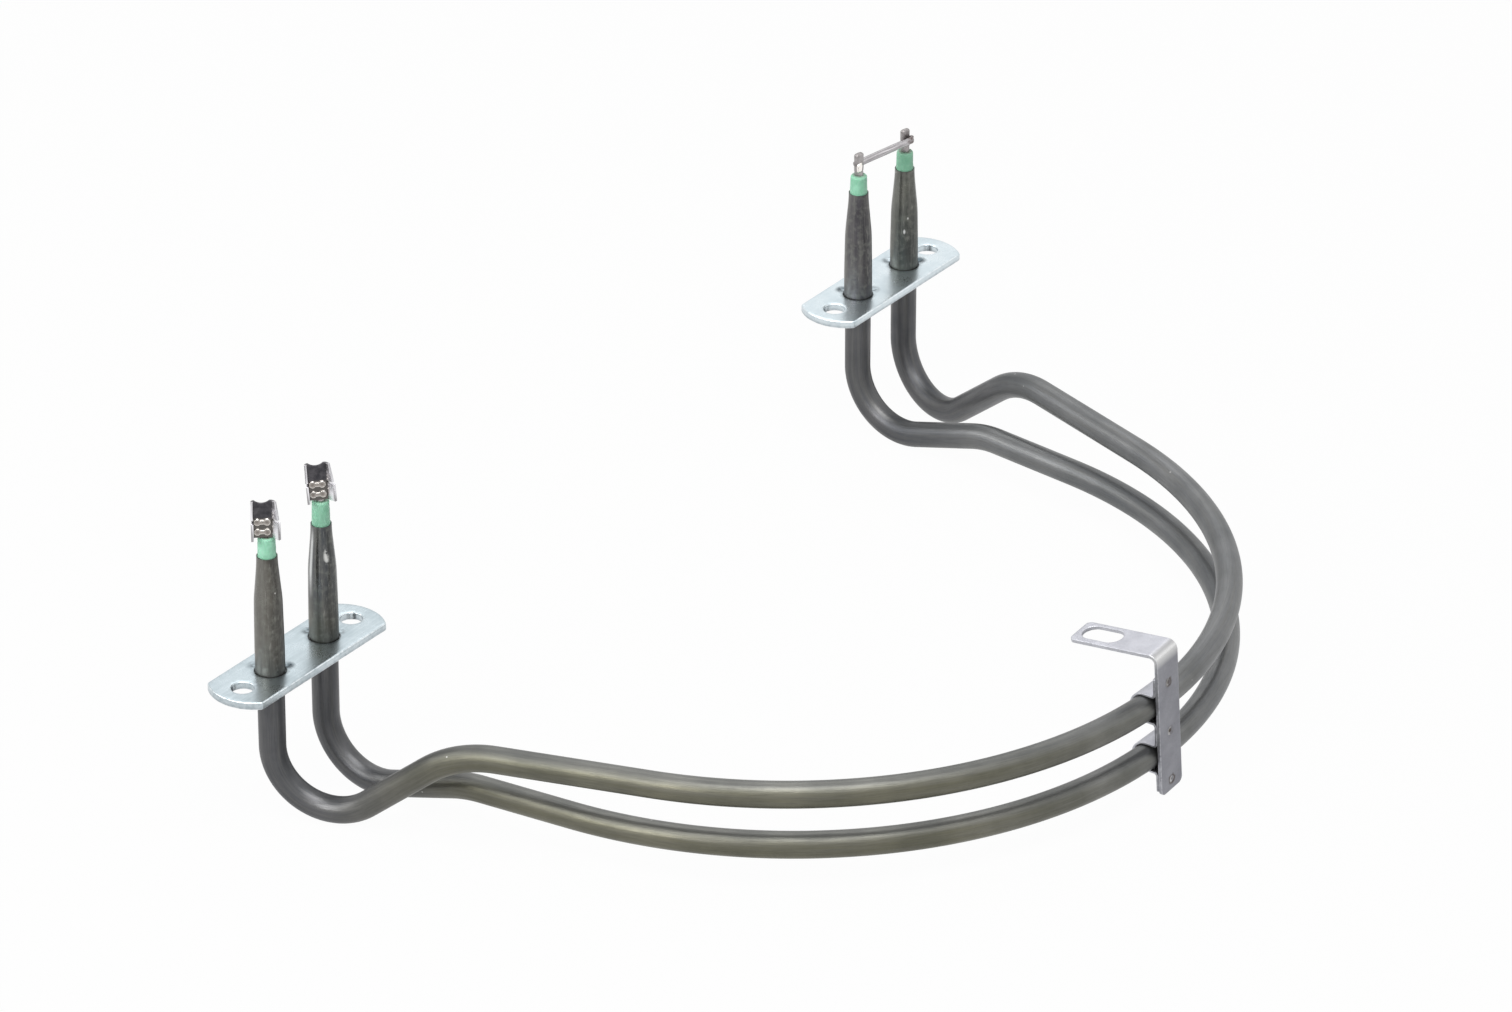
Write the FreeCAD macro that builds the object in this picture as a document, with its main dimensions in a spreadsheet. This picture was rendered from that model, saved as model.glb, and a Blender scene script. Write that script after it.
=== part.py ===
import FreeCAD, Part
import math
import os

import Sketcher

# Open ring heating element with two sheathed tubes stacked one above the other.
# Each tube starts at a terminal that stands up through a flange plate, drops down,
# bends forward and up to its ring level, runs round the ring and comes back the same way.
# The frame: Z is up along the terminals, X runs from the left plate to the right plate,
# Y points away from the ring. The origin is midway between the two plates, in the plane
# of their top faces, which are the faces that press against the wall of the air duct.

sizes = {
    # heating tubes
    "tube_diameter": 6.5,
    "tube_wall": 0.7,
    "coil_diameter": 2.4,
    "low_bend_radius": 14.7,
    "leg_bend_radius": 27.5,
    "low_bend_drop": 34.75,       # mounting face down to the lowest centre line
    # ring
    "ring_reach": 162.5,          # terminals forward to the centre line of both rings
    "upper_ring_radius": 106.95,
    "lower_ring_radius": 105.15,
    "upper_ring_drop": 13.9,      # mounting face down to the upper ring
    "ring_pitch": 13.85,          # upper ring down to the lower ring
    "upper_leg_outset": 9.45,     # how far the leg's corner stands outside the ring
    "lower_leg_outset": 2.45,
    "upper_leg_run": 44.35,       # terminals forward to the leg's corner
    "lower_leg_run": 40.4,
    # terminals
    "terminal_span": 238.8,       # between the centres of the two flange plates
    "tube_spacing": 20.3,         # between the two terminals in one plate
    "upper_left_rise": 30.5,      # mounting face up to each tube's end
    "lower_left_rise": 30.1,
    "upper_right_rise": 27.3,
    "lower_right_rise": 28.6,
    "collar_diameter": 7.1,       # the tube is thicker where it passes the plate
    "collar_rise": 6.0,
    "neck_drop": 5.0,             # where the collar has run out to the plain tube
    "shoulder_diameter": 6.75,
    "shoulder_length": 11.4,      # tube end down to where the swaged taper starts
    "mouth_diameter": 5.0,
    "mouth_length": 1.7,
    # cold pins and seals
    "pin_diameter": 2.2,
    "pin_depth": 14.0,            # mounting face down to the pin's inner end
    "pin_projection": 10.8,       # tube end up to the pin's tip
    "pin_flat_width": 2.5,
    "pin_flat_thickness": 1.5,
    "pin_flat_gap": 0.8,          # seal up to the flat on the right pins
    "pin_tip_blend": 0.5,
    "seal_diameter": 4.4,
    "seal_depth": 3.5,
    "upper_left_seal_height": 5.2,
    "lower_left_seal_height": 6.25,
    "upper_right_seal_height": 4.8,
    "lower_right_seal_height": 4.8,
    "seal_blend": 0.5,
    # flange plates
    "plate_thickness": 2.0,
    "plate_width": 16.4,
    "plate_side_length": 46.8,
    "plate_end_radius": 11.6,
    "plate_corner_radius": 1.0,
    "plate_edge_blend": 0.3,
    "plate_hole_gap": 0.15,       # round each terminal's collar
    "screw_hole_diameter": 5.4,
    "screw_hole_spacing": 41.0,
    "stake_circle": 8.9,          # punch marks that hold each tube in its plate
    "stake_mark_diameter": 2.0,
    "stake_mark_depth": 0.25,
    "stake_first_turn": -24.0,
    "stake_second_turn": 96.0,
    # terminal clips on the two left pins
    "clip_sheet": 0.6,
    "clip_width": 4.9,
    "clip_height": 9.6,
    "upper_clip_base": 0.2,       # seal's top up to each clip and its pin's flat
    "lower_clip_base": 0.8,
    "clip_offset": 0.8,           # each clip sits off its pin's middle
    "clip_turn": 50.0,            # the clips face forward and outward
    "clip_wing": 2.6,
    "clip_left_splay": 10.0,      # how far each wing leans outward
    "clip_right_splay": 44.0,
    "clip_lower_part": 4.5,
    "clip_slit": 0.5,
    "clip_upper_wing": 1.0,
    "clip_tip_wing": 0.35,
    "clip_notch_radius": 2.6,
    "clip_notch_depth": 0.7,
    "rib_height": 0.35,
    "rib_end_diameter": 1.7,
    "rib_end_spacing": 2.2,
    "rib_neck": 0.9,
    "rib_pitch": 2.55,
    "rib_base": 1.55,
    # bridge wire between the two right pins
    "bridge_diameter": 1.8,
    "bridge_level": 35.5,         # mounting face up to the wire
    "bridge_inner_overhang": -0.45,  # it ends short of the inner pin's middle
    "bridge_outer_overhang": 0.9,
    "bridge_end_blend": 0.2,
    "weld_gap": 0.02,
    # support bracket on the front of the ring
    "strip_width": 8.6,
    "bracket_sheet": 1.0,
    "bracket_offset": -0.2,       # along X from the middle of the ring
    "bracket_lean": 5.4,
    "bracket_gap": 0.05,          # between the leg and the tubes
    "leg_rise": 23.3,             # middle between the rings up to the flange
    "leg_fall": 16.6,             # and down to the leg's end
    "flange_length": 25.4,
    "flange_droop": 7.6,
    "bracket_bend_radius": 1.3,
    "bracket_corner_radius": 1.5,
    "slot_width": 5.8,
    "slot_length": 10.9,
    "slot_margin": 1.4,
    "slot_offset": 0.25,
    "weld_spot_diameter": 2.2,
    "weld_spot_depth": 0.15,
    # clamp strip that loops round both tubes behind the bracket
    "clamp_sheet": 0.6,
    "loop_gap": 0.2,
    "foot_bend_radius": 0.6,
    "foot_length": 4.4,
}

doc = FreeCAD.newDocument("ring_heating_element")
sheet = doc.addObject("Spreadsheet::Sheet", "Sizes")
for row, (alias, value) in enumerate(sizes.items(), start=1):
    sheet.set(f"A{row}", alias.replace("_", " "))
    sheet.set(f"B{row}", str(value))
    sheet.setAlias(f"B{row}", alias)
doc.recompute()

nodes = {}
signs = {"left": -1, "right": 1}


def size(alias):
    """A driving dimension, read back from the sheet."""
    return float(sheet.get(alias))


def terminal_place(tube, side):
    """Expression for a terminal's place along X."""
    more = "+" if tube == "upper" else "-"
    return f"{signs[side]} * (Sizes.terminal_span / 2 {more} Sizes.tube_spacing / 2)"


def rise(tube, side):
    return f"Sizes.{tube}_{side}_rise"


def seal_top(tube, side):
    return f"{rise(tube, side)} + Sizes.{tube}_{side}_seal_height"


def flat_base(tube, side):
    """Where a pin's flat starts, which is also where a left pin's clip starts."""
    gap = f"Sizes.{tube}_clip_base" if side == "left" else "Sizes.pin_flat_gap"
    return f"{seal_top(tube, side)} + {gap}"


# Small helpers for bodies and sketches

def new_body(name, x="0", y="0", z="0"):
    body = doc.addObject("PartDesign::Body", name)
    body.Label = name
    for axis, expression in (("x", x), ("y", y), ("z", z)):
        body.setExpression(f"Placement.Base.{axis}", expression)
    return body


def turn(body, axis, angle):
    """Turns a body about one of its own axes by an angle from the sheet."""
    body.Placement = FreeCAD.Placement(body.Placement.Base, FreeCAD.Rotation(axis, 1))
    body.setExpression("Placement.Rotation.Angle", angle)


def new_sketch(body, name, role, lift=None):
    """A sketch on one of the body's own planes, lifted along the plane's normal."""
    sketch = body.newObject("Sketcher::SketchObject", name)
    plane = [item for item in body.Origin.OriginFeatures if item.Role == role][0]
    sketch.AttachmentSupport = [(plane, "")]
    sketch.MapMode = "FlatFace"
    if lift:
        sketch.setExpression("AttachmentOffset.Base.z", lift)
    return sketch


def place_point(sketch, geometry, end, x=None, y=None):
    """Ties one point of a sketch to one or two expressions."""
    for kind, expression in (("DistanceX", x), ("DistanceY", y)):
        if expression is None:
            continue
        point = sketch.getPoint(geometry, end)
        start = point.x if kind == "DistanceX" else point.y
        number = sketch.addConstraint(Sketcher.Constraint(kind, -1, 1, geometry, end, start))
        name = f"{kind[-1].lower()}{geometry}_{end}"
        sketch.renameConstraint(number, name)
        sketch.setExpression(f"Constraints.{name}", expression)


def evaluate(expression):
    result = sheet.evalExpression(expression)
    return float(getattr(result, "Value", result))


def outline(sketch, corners):
    """A closed run of straight lines whose corners are pairs of expressions."""
    points = [FreeCAD.Vector(evaluate(x), evaluate(y), 0) for x, y in corners]
    lines = [Part.LineSegment(a, b) for a, b in zip(points, points[1:] + points[:1])]
    first = sketch.addGeometry(lines, False)[0]
    count = len(lines)
    for index in range(count):
        following = first + (index + 1) % count
        sketch.addConstraint(Sketcher.Constraint("Coincident", first + index, 2, following, 1))
    for index, (x, y) in enumerate(corners):
        place_point(sketch, first + index, 1, x, y)


def circle(sketch, x, y, radius):
    centre = FreeCAD.Vector(evaluate(x), evaluate(y), 0)
    shape = Part.Circle(centre, FreeCAD.Vector(0, 0, 1), evaluate(radius))
    index = sketch.addGeometry(shape, False)
    place_point(sketch, index, 3, x, y)
    number = sketch.addConstraint(Sketcher.Constraint("Radius", index, evaluate(radius)))
    sketch.renameConstraint(number, f"radius{index}")
    sketch.setExpression(f"Constraints.radius{index}", radius)


def extrude(body, kind, name, sketch, length, side_type="One side", reverse=False):
    """A Pad or a Pocket of a sketch by a length from the sheet."""
    feature = body.newObject(f"PartDesign::{kind}", name)
    feature.Profile = sketch
    feature.SideType = side_type
    feature.Reversed = reverse
    feature.setExpression("Length", length)
    sketch.Visibility = False
    return feature


def revolve(body, name, sketch):
    feature = body.newObject("PartDesign::Revolution", name)
    feature.Profile = sketch
    feature.ReferenceAxis = (sketch, ["V_Axis"])
    feature.Angle = 360
    return feature


def round_edges(body, name, base, radius, test):
    """Rounds those edges of a feature whose middle point passes the test."""
    doc.recompute()
    names = []
    for number, edge in enumerate(base.Shape.Edges, start=1):
        middle = edge.valueAt((edge.FirstParameter + edge.LastParameter) / 2)
        if test(middle, edge):
            names.append(f"Edge{number}")
    feature = body.newObject("PartDesign::Fillet", name)
    feature.Base = (base, names)
    feature.setExpression("Radius", radius)
    return feature


def near(a, b):
    return abs(a - b) < 1e-4


# The tubes' centre line

def corner_arc(before, corner, after, radius):
    """Start, middle and end of the arc that rounds a corner of the route."""
    back = (before - corner).normalize()
    ahead = (after - corner).normalize()
    bend = math.pi - back.getAngle(ahead)
    reach = radius * math.tan(bend / 2)
    inward = (back + ahead).normalize()
    centre = corner + inward * (radius / math.cos(bend / 2))
    return corner + back * reach, centre - inward * radius, corner + ahead * reach


def route(tube, start_level):
    """The centre line from the left terminal, round the ring, to the right terminal."""
    spread = 1 if tube == "upper" else -1
    terminal_x = (size("terminal_span") + spread * size("tube_spacing")) / 2
    level = -size("upper_ring_drop") - (0 if tube == "upper" else size("ring_pitch"))
    radius = size(f"{tube}_ring_radius")
    centre = FreeCAD.Vector(0, radius - size("ring_reach"), level)
    knee = FreeCAD.Vector(-radius - size(f"{tube}_leg_outset"), -size(f"{tube}_leg_run"), level)

    # the leg rises from the low bend at the slope that is tangent to that bend
    bend = size("low_bend_radius")
    bend_level = bend - size("low_bend_drop")
    run = math.hypot(knee.x + terminal_x, knee.y)
    climb = level - bend_level
    slope = math.asin(bend / math.hypot(run - bend, climb)) + math.atan2(climb, run - bend)
    foot = FreeCAD.Vector(-terminal_x, 0, bend_level - bend * math.tan(math.pi / 4 + slope / 2))
    start = FreeCAD.Vector(-terminal_x, 0, start_level)
    low = corner_arc(start, foot, knee, bend)

    # the straight after the knee meets the ring at a tangent
    to_centre = centre - knee
    heading = math.atan2(to_centre.y, to_centre.x) - math.asin(radius / to_centre.Length)
    straight = math.sqrt(to_centre.Length ** 2 - radius ** 2)
    joint = knee + FreeCAD.Vector(math.cos(heading), math.sin(heading), 0) * straight
    high = corner_arc(foot, knee, joint, size("leg_bend_radius"))
    front = FreeCAD.Vector(0, -size("ring_reach"), level)

    def mirrored(point):
        return FreeCAD.Vector(-point.x, point.y, point.z)

    def half(flip):
        points = [flip(p) for p in (start, *low, *high, joint)]
        return [
            Part.LineSegment(points[0], points[1]),
            Part.Arc(points[1], points[2], points[3]),
            Part.LineSegment(points[3], points[4]),
            Part.Arc(points[4], points[5], points[6]),
            Part.LineSegment(points[6], points[7]),
        ]

    left = half(lambda point: point)
    right = half(mirrored)
    ring = Part.Arc(joint, front, mirrored(joint))
    edges = [piece.toShape() for piece in left + [ring] + right[::-1]]
    return Part.Wire(Part.__sortEdges__(edges))


def swept(name, tube, start_level, radius):
    """A round bar along a tube's route, from one terminal to the other."""
    path = doc.addObject("Part::Feature", f"{name}_route")
    path.Shape = route(tube, start_level)
    section = doc.addObject("Part::Circle", f"{name}_section")
    section.setExpression("Radius", radius)
    section.setExpression("Placement.Base.x", terminal_place(tube, "left"))
    section.Placement.Base.z = start_level
    bar = doc.addObject("Part::Sweep", name)
    bar.Sections = [section]
    bar.Spine = (path, [])
    bar.Solid = True
    bar.Frenet = False
    return bar


def fused(name, pieces):
    union = doc.addObject("Part::MultiFuse", name)
    union.Shapes = pieces
    union.Refine = True
    return union


def cut(name, base, tool):
    rest = doc.addObject("Part::Cut", name)
    rest.Base = base
    rest.Tool = tool
    rest.Refine = True
    return rest


# Pieces at one terminal

def terminal_sleeve(tube, side):
    """The tube's swaged end, thicker at the plate and tapered to the mouth."""
    name = f"{tube}_{side}_sleeve"
    body = new_body(name, x=terminal_place(tube, side))
    sketch = new_sketch(body, f"{name}_section", "XZ_Plane")
    plain = "Sizes.tube_diameter / 2"
    bore = "Sizes.tube_diameter / 2 - Sizes.tube_wall"
    mouth = "Sizes.mouth_diameter / 2"
    shoulder = f"{rise(tube, side)} - Sizes.shoulder_length"
    outline(sketch, [
        (plain, "-Sizes.neck_drop"),
        ("Sizes.collar_diameter / 2", "-Sizes.plate_thickness"),
        ("Sizes.collar_diameter / 2", "Sizes.collar_rise"),
        ("Sizes.shoulder_diameter / 2", shoulder),
        (mouth, f"{rise(tube, side)} - Sizes.mouth_length"),
        (mouth, rise(tube, side)),
        ("Sizes.seal_diameter / 2", rise(tube, side)),
        ("Sizes.seal_diameter / 2", f"{rise(tube, side)} - Sizes.seal_depth"),
        (bore, shoulder),
        (bore, "-Sizes.neck_drop"),
    ])
    revolve(body, f"{name}_turned", sketch)
    return body


def terminal_fill(tube, side):
    """The insulation's end, which fills the sleeve's bore up to the seal."""
    name = f"{tube}_{side}_fill"
    body = new_body(name, x=terminal_place(tube, side))
    sketch = new_sketch(body, f"{name}_section", "XZ_Plane")
    bore = "Sizes.tube_diameter / 2 - Sizes.tube_wall"
    top = f"{rise(tube, side)} - Sizes.seal_depth"
    outline(sketch, [
        ("0", "-Sizes.neck_drop"),
        (bore, "-Sizes.neck_drop"),
        (bore, f"{rise(tube, side)} - Sizes.shoulder_length"),
        ("Sizes.seal_diameter / 2", top),
        ("0", top),
    ])
    revolve(body, f"{name}_turned", sketch)
    return body


def cold_pin(tube, side):
    """The steel pin that brings the current in, with its tip swaged flat."""
    name = f"{tube}_{side}_pin"
    body = new_body(name, x=terminal_place(tube, side))
    flat_start = flat_base(tube, side)
    tip = f"{rise(tube, side)} + Sizes.pin_projection"
    flat = new_sketch(body, f"{name}_flat_section", "XY_Plane", flat_start)
    wide = "Sizes.pin_flat_width / 2"
    thick = "Sizes.pin_flat_thickness / 2"
    outline(flat, [(f"-{wide}", f"-{thick}"), (wide, f"-{thick}"), (wide, thick), (f"-{wide}", thick)])
    tip_pad = extrude(body, "Pad", f"{name}_flat", flat, f"({tip}) - ({flat_start})")
    low = evaluate(flat_start)

    def around_the_flat(middle, edge):
        return middle.z > low + 1e-4

    round_edges(body, f"{name}_tip", tip_pad, "Sizes.pin_tip_blend", around_the_flat)
    sketch = new_sketch(body, f"{name}_section", "XY_Plane", "-Sizes.pin_depth")
    circle(sketch, "0", "0", "Sizes.pin_diameter / 2")
    extrude(body, "Pad", f"{name}_bar", sketch, f"Sizes.pin_depth + {flat_start}")
    if side == "left":
        turn(body, FreeCAD.Vector(0, 0, 1), "-Sizes.clip_turn")
    else:
        turn(body, FreeCAD.Vector(0, 0, 1), f"-{bridge_angle}")
    nodes[name] = body
    return body


def seal(tube, side):
    """The green bead that closes the tube's mouth round the pin."""
    name = f"{tube}_{side}_seal"
    body = new_body(name, x=terminal_place(tube, side))
    sketch = new_sketch(body, f"{name}_section", "XZ_Plane")
    low = f"{rise(tube, side)} - Sizes.seal_depth"
    top = seal_top(tube, side)
    inner = "Sizes.pin_diameter / 2"
    outer = "Sizes.seal_diameter / 2"
    outline(sketch, [(inner, low), (outer, low), (outer, top), (inner, top)])
    turned = revolve(body, f"{name}_turned", sketch)
    level = evaluate(top)

    def outer_rim(middle, edge):
        return near(middle.z, level) and near(math.hypot(middle.x, middle.y), size("seal_diameter") / 2)

    round_edges(body, f"{name}_rim", turned, "Sizes.seal_blend", outer_rim)
    nodes[name] = body
    return body


def tube_assembly(tube):
    """Sheath, insulation and coil of one tube, with its two pins and two seals."""
    neck = -size("neck_drop")
    bore = "Sizes.tube_diameter / 2 - Sizes.tube_wall"
    skin = swept(f"{tube}_skin", tube, neck, "Sizes.tube_diameter / 2")
    core = swept(f"{tube}_core", tube, neck, bore)
    wall = cut(f"{tube}_wall", skin, core)
    sleeves = [terminal_sleeve(tube, side) for side in signs]
    nodes[f"{tube}_sheath"] = fused(f"{tube}_sheath", [wall] + sleeves)

    coil = swept(f"{tube}_coil", tube, -size("pin_depth"), "Sizes.coil_diameter / 2")
    nodes[f"{tube}_coil"] = coil
    pins = [cold_pin(tube, side) for side in signs]
    filling = swept(f"{tube}_filling", tube, neck, bore)
    ends = [terminal_fill(tube, side) for side in signs]
    solid_fill = fused(f"{tube}_solid_fill", [filling] + ends)
    inside = fused(f"{tube}_inside", [coil] + pins)
    nodes[f"{tube}_insulation"] = cut(f"{tube}_insulation", solid_fill, inside)
    for side in signs:
        seal(tube, side)


# Flange plates

def flange_plate(side):
    """A thick plate with bulged ends, two tube holes and two screw holes."""
    name = f"{side}_flange_plate"
    body = new_body(name, x=f"{signs[side]} * Sizes.terminal_span / 2")
    sketch = new_sketch(body, f"{name}_outline", "XY_Plane")
    half_side = size("plate_side_length") / 2
    half_width = size("plate_width") / 2
    end = size("plate_end_radius")
    centre_x = half_side - math.sqrt(end ** 2 - half_width ** 2)
    swing = math.asin(half_width / end)
    axis = FreeCAD.Vector(0, 0, 1)
    right_end = Part.Circle(FreeCAD.Vector(centre_x, 0, 0), axis, end)
    left_end = Part.Circle(FreeCAD.Vector(-centre_x, 0, 0), axis, end)
    vector = FreeCAD.Vector
    sketch.addGeometry([
        Part.LineSegment(vector(-half_side, -half_width, 0), vector(half_side, -half_width, 0)),
        Part.ArcOfCircle(right_end, -swing, swing),
        Part.LineSegment(vector(half_side, half_width, 0), vector(-half_side, half_width, 0)),
        Part.ArcOfCircle(left_end, math.pi - swing, math.pi + swing),
    ], False)
    for first, second in ((0, 1), (1, 2), (2, 3), (3, 0)):
        sketch.addConstraint(Sketcher.Constraint("Coincident", first, 2, second, 1))
    long_side = "Sizes.plate_side_length / 2"
    wide = "Sizes.plate_width / 2"
    place_point(sketch, 0, 1, f"-{long_side}", f"-{wide}")
    place_point(sketch, 0, 2, long_side, f"-{wide}")
    place_point(sketch, 2, 1, long_side, wide)
    place_point(sketch, 2, 2, f"-{long_side}", wide)
    for arc in (1, 3):
        number = sketch.addConstraint(Sketcher.Constraint("Radius", arc, end))
        sketch.renameConstraint(number, f"end{arc}")
        sketch.setExpression(f"Constraints.end{arc}", "Sizes.plate_end_radius")
    blank = extrude(body, "Pad", f"{name}_blank", sketch, "Sizes.plate_thickness", reverse=True)

    def upright_corner(middle, edge):
        return near(abs(middle.x), half_side) and near(abs(middle.y), half_width)

    trimmed = round_edges(body, f"{name}_corners", blank, "Sizes.plate_corner_radius", upright_corner)

    def top_rim(middle, edge):
        return near(middle.z, 0)

    round_edges(body, f"{name}_rim", trimmed, "Sizes.plate_edge_blend", top_rim)

    holes = new_sketch(body, f"{name}_holes", "XY_Plane")
    for sign in ("", "-"):
        circle(holes, f"{sign}Sizes.tube_spacing / 2", "0", "Sizes.collar_diameter / 2 + Sizes.plate_hole_gap")
        circle(holes, f"{sign}Sizes.screw_hole_spacing / 2", "0", "Sizes.screw_hole_diameter / 2")
    extrude(body, "Pocket", f"{name}_pierced", holes, "2 * Sizes.plate_thickness")

    for turn_name in ("first", "second"):
        marks = new_sketch(body, f"{name}_{turn_name}_marks", "XY_Plane")
        angle = f"Sizes.stake_{turn_name}_turn"
        for sign in ("", "-"):
            circle(marks, f"{sign}Sizes.tube_spacing / 2 + Sizes.stake_circle / 2 * cos({angle})",
                   f"Sizes.stake_circle / 2 * sin({angle})", "Sizes.stake_mark_diameter / 2")
        extrude(body, "Pocket", f"{name}_{turn_name}_staking", marks, "Sizes.stake_mark_depth")
    nodes[name] = body


# Terminal clips

def clip_wing(side, back):
    """Corners of one wing as seen from above, from the web's back to its front."""
    splay = f"Sizes.clip_{side}_splay"
    sign = f"{signs[side]} * "
    root = "Sizes.clip_width / 2"
    tip = f"{root} + Sizes.clip_wing * sin({splay})"
    tip_y = f"-({back}) - Sizes.clip_wing * cos({splay})"
    return [
        (f"{sign}({root})", f"-({back})"),
        (f"{sign}({tip})", tip_y),
        (f"{sign}({tip} - Sizes.clip_sheet * cos({splay}))", f"{tip_y} - Sizes.clip_sheet * sin({splay})"),
        (f"{sign}({root} - Sizes.clip_sheet * tan(45 - {splay} / 2))", f"-({back}) - Sizes.clip_sheet"),
    ]


def terminal_clip(tube):
    """A folded channel that is welded to a left pin, with two embossed ribs."""
    name = f"{tube}_left_clip"
    level = flat_base(tube, "left")
    across_x = "Sizes.clip_offset * cos(Sizes.clip_turn)"
    body = new_body(name, x=f"{terminal_place(tube, 'left')} - {across_x}",
                    y="Sizes.clip_offset * sin(Sizes.clip_turn)", z=level)
    back = "Sizes.pin_flat_thickness / 2 + Sizes.weld_gap"
    section = new_sketch(body, f"{name}_section", "XY_Plane")
    outline(section, clip_wing("right", back) + clip_wing("left", back)[::-1])
    extrude(body, "Pad", f"{name}_channel", section, "Sizes.clip_height")

    # side view: the upper wings taper to the top and a slit parts them from the lower wings
    side_view = new_sketch(body, f"{name}_taper_view", "YZ_Plane")
    front = f"-({back}) - Sizes.clip_sheet"
    far = f"{front} - Sizes.clip_wing - Sizes.clip_sheet"
    outline(side_view, [
        (far, "Sizes.clip_lower_part + Sizes.clip_slit"),
        (f"{front} - Sizes.clip_upper_wing", "Sizes.clip_lower_part + Sizes.clip_slit"),
        (f"{front} - Sizes.clip_tip_wing", "Sizes.clip_height"),
        (far, "Sizes.clip_height"),
    ])
    across = "4 * Sizes.clip_width"
    extrude(body, "Pocket", f"{name}_taper", side_view, across, "Symmetric")
    slit = new_sketch(body, f"{name}_slit_view", "YZ_Plane")
    outline(slit, [
        (far, "Sizes.clip_lower_part"),
        (front, "Sizes.clip_lower_part"),
        (front, "Sizes.clip_lower_part + Sizes.clip_slit"),
        (far, "Sizes.clip_lower_part + Sizes.clip_slit"),
    ])
    extrude(body, "Pocket", f"{name}_slit", slit, across, "Symmetric")
    notch = new_sketch(body, f"{name}_notch_view", "XZ_Plane")
    circle(notch, "0", "Sizes.clip_height + Sizes.clip_notch_radius - Sizes.clip_notch_depth",
           "Sizes.clip_notch_radius")
    extrude(body, "Pocket", f"{name}_notch", notch, across, "Symmetric")

    # each embossed rib is two round pads joined by a neck
    lift = f"{back} + Sizes.clip_sheet"
    neck = new_sketch(body, f"{name}_rib_neck", "XZ_Plane", lift)
    arm = "Sizes.rib_end_spacing / 2"
    outline(neck, [
        (f"-{arm}", "Sizes.rib_base - Sizes.rib_neck / 2"),
        (arm, "Sizes.rib_base - Sizes.rib_neck / 2"),
        (arm, "Sizes.rib_base + Sizes.rib_neck / 2"),
        (f"-{arm}", "Sizes.rib_base + Sizes.rib_neck / 2"),
    ])
    neck_pad = extrude(body, "Pad", f"{name}_rib_bar", neck, "Sizes.rib_height")
    ends = new_sketch(body, f"{name}_rib_ends", "XZ_Plane", lift)
    for sign in ("", "-"):
        circle(ends, f"{sign}{arm}", "Sizes.rib_base", "Sizes.rib_end_diameter / 2")
    end_pads = extrude(body, "Pad", f"{name}_rib_discs", ends, "Sizes.rib_height")
    pattern = body.newObject("PartDesign::LinearPattern", f"{name}_ribs")
    pattern.Originals = [neck_pad, end_pads]
    pattern.Direction = (ends, ["V_Axis"])
    pattern.Occurrences = 2
    pattern.Mode = "Spacing"
    pattern.setExpression("Offset", "Sizes.rib_pitch")
    body.Tip = pattern
    turn(body, FreeCAD.Vector(0, 0, 1), "-Sizes.clip_turn")
    nodes[name] = body


# Bridge wire: it runs behind the lower tube's pin and in front of the upper tube's pin

bridge_lead = "(Sizes.pin_flat_thickness / 2 + Sizes.bridge_diameter / 2 + Sizes.weld_gap)"
bridge_angle = f"asin(2 * {bridge_lead} / Sizes.tube_spacing)"


def bridge_wire():
    name = "bridge_wire"
    body = new_body(name, x="Sizes.terminal_span / 2", z="Sizes.bridge_level")
    half = f"Sizes.tube_spacing * cos({bridge_angle}) / 2"
    sketch = new_sketch(body, f"{name}_section", "YZ_Plane", f"-{half} - Sizes.bridge_inner_overhang")
    circle(sketch, "0", "0", "Sizes.bridge_diameter / 2")
    length = f"2 * {half} + Sizes.bridge_inner_overhang + Sizes.bridge_outer_overhang"
    bar = extrude(body, "Pad", f"{name}_bar", sketch, length)
    round_edges(body, f"{name}_ends", bar, "Sizes.bridge_end_blend",
                lambda middle, edge: isinstance(edge.Curve, Part.Circle))
    turn(body, FreeCAD.Vector(0, 0, 1), f"-{bridge_angle}")
    nodes[name] = body


# Support bracket and clamp strip; both are drawn about the middle between the rings

middle_level = "-Sizes.upper_ring_drop - Sizes.ring_pitch / 2"
leg_inner_face = "-Sizes.ring_reach - Sizes.tube_diameter / 2 - Sizes.bracket_gap"


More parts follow.
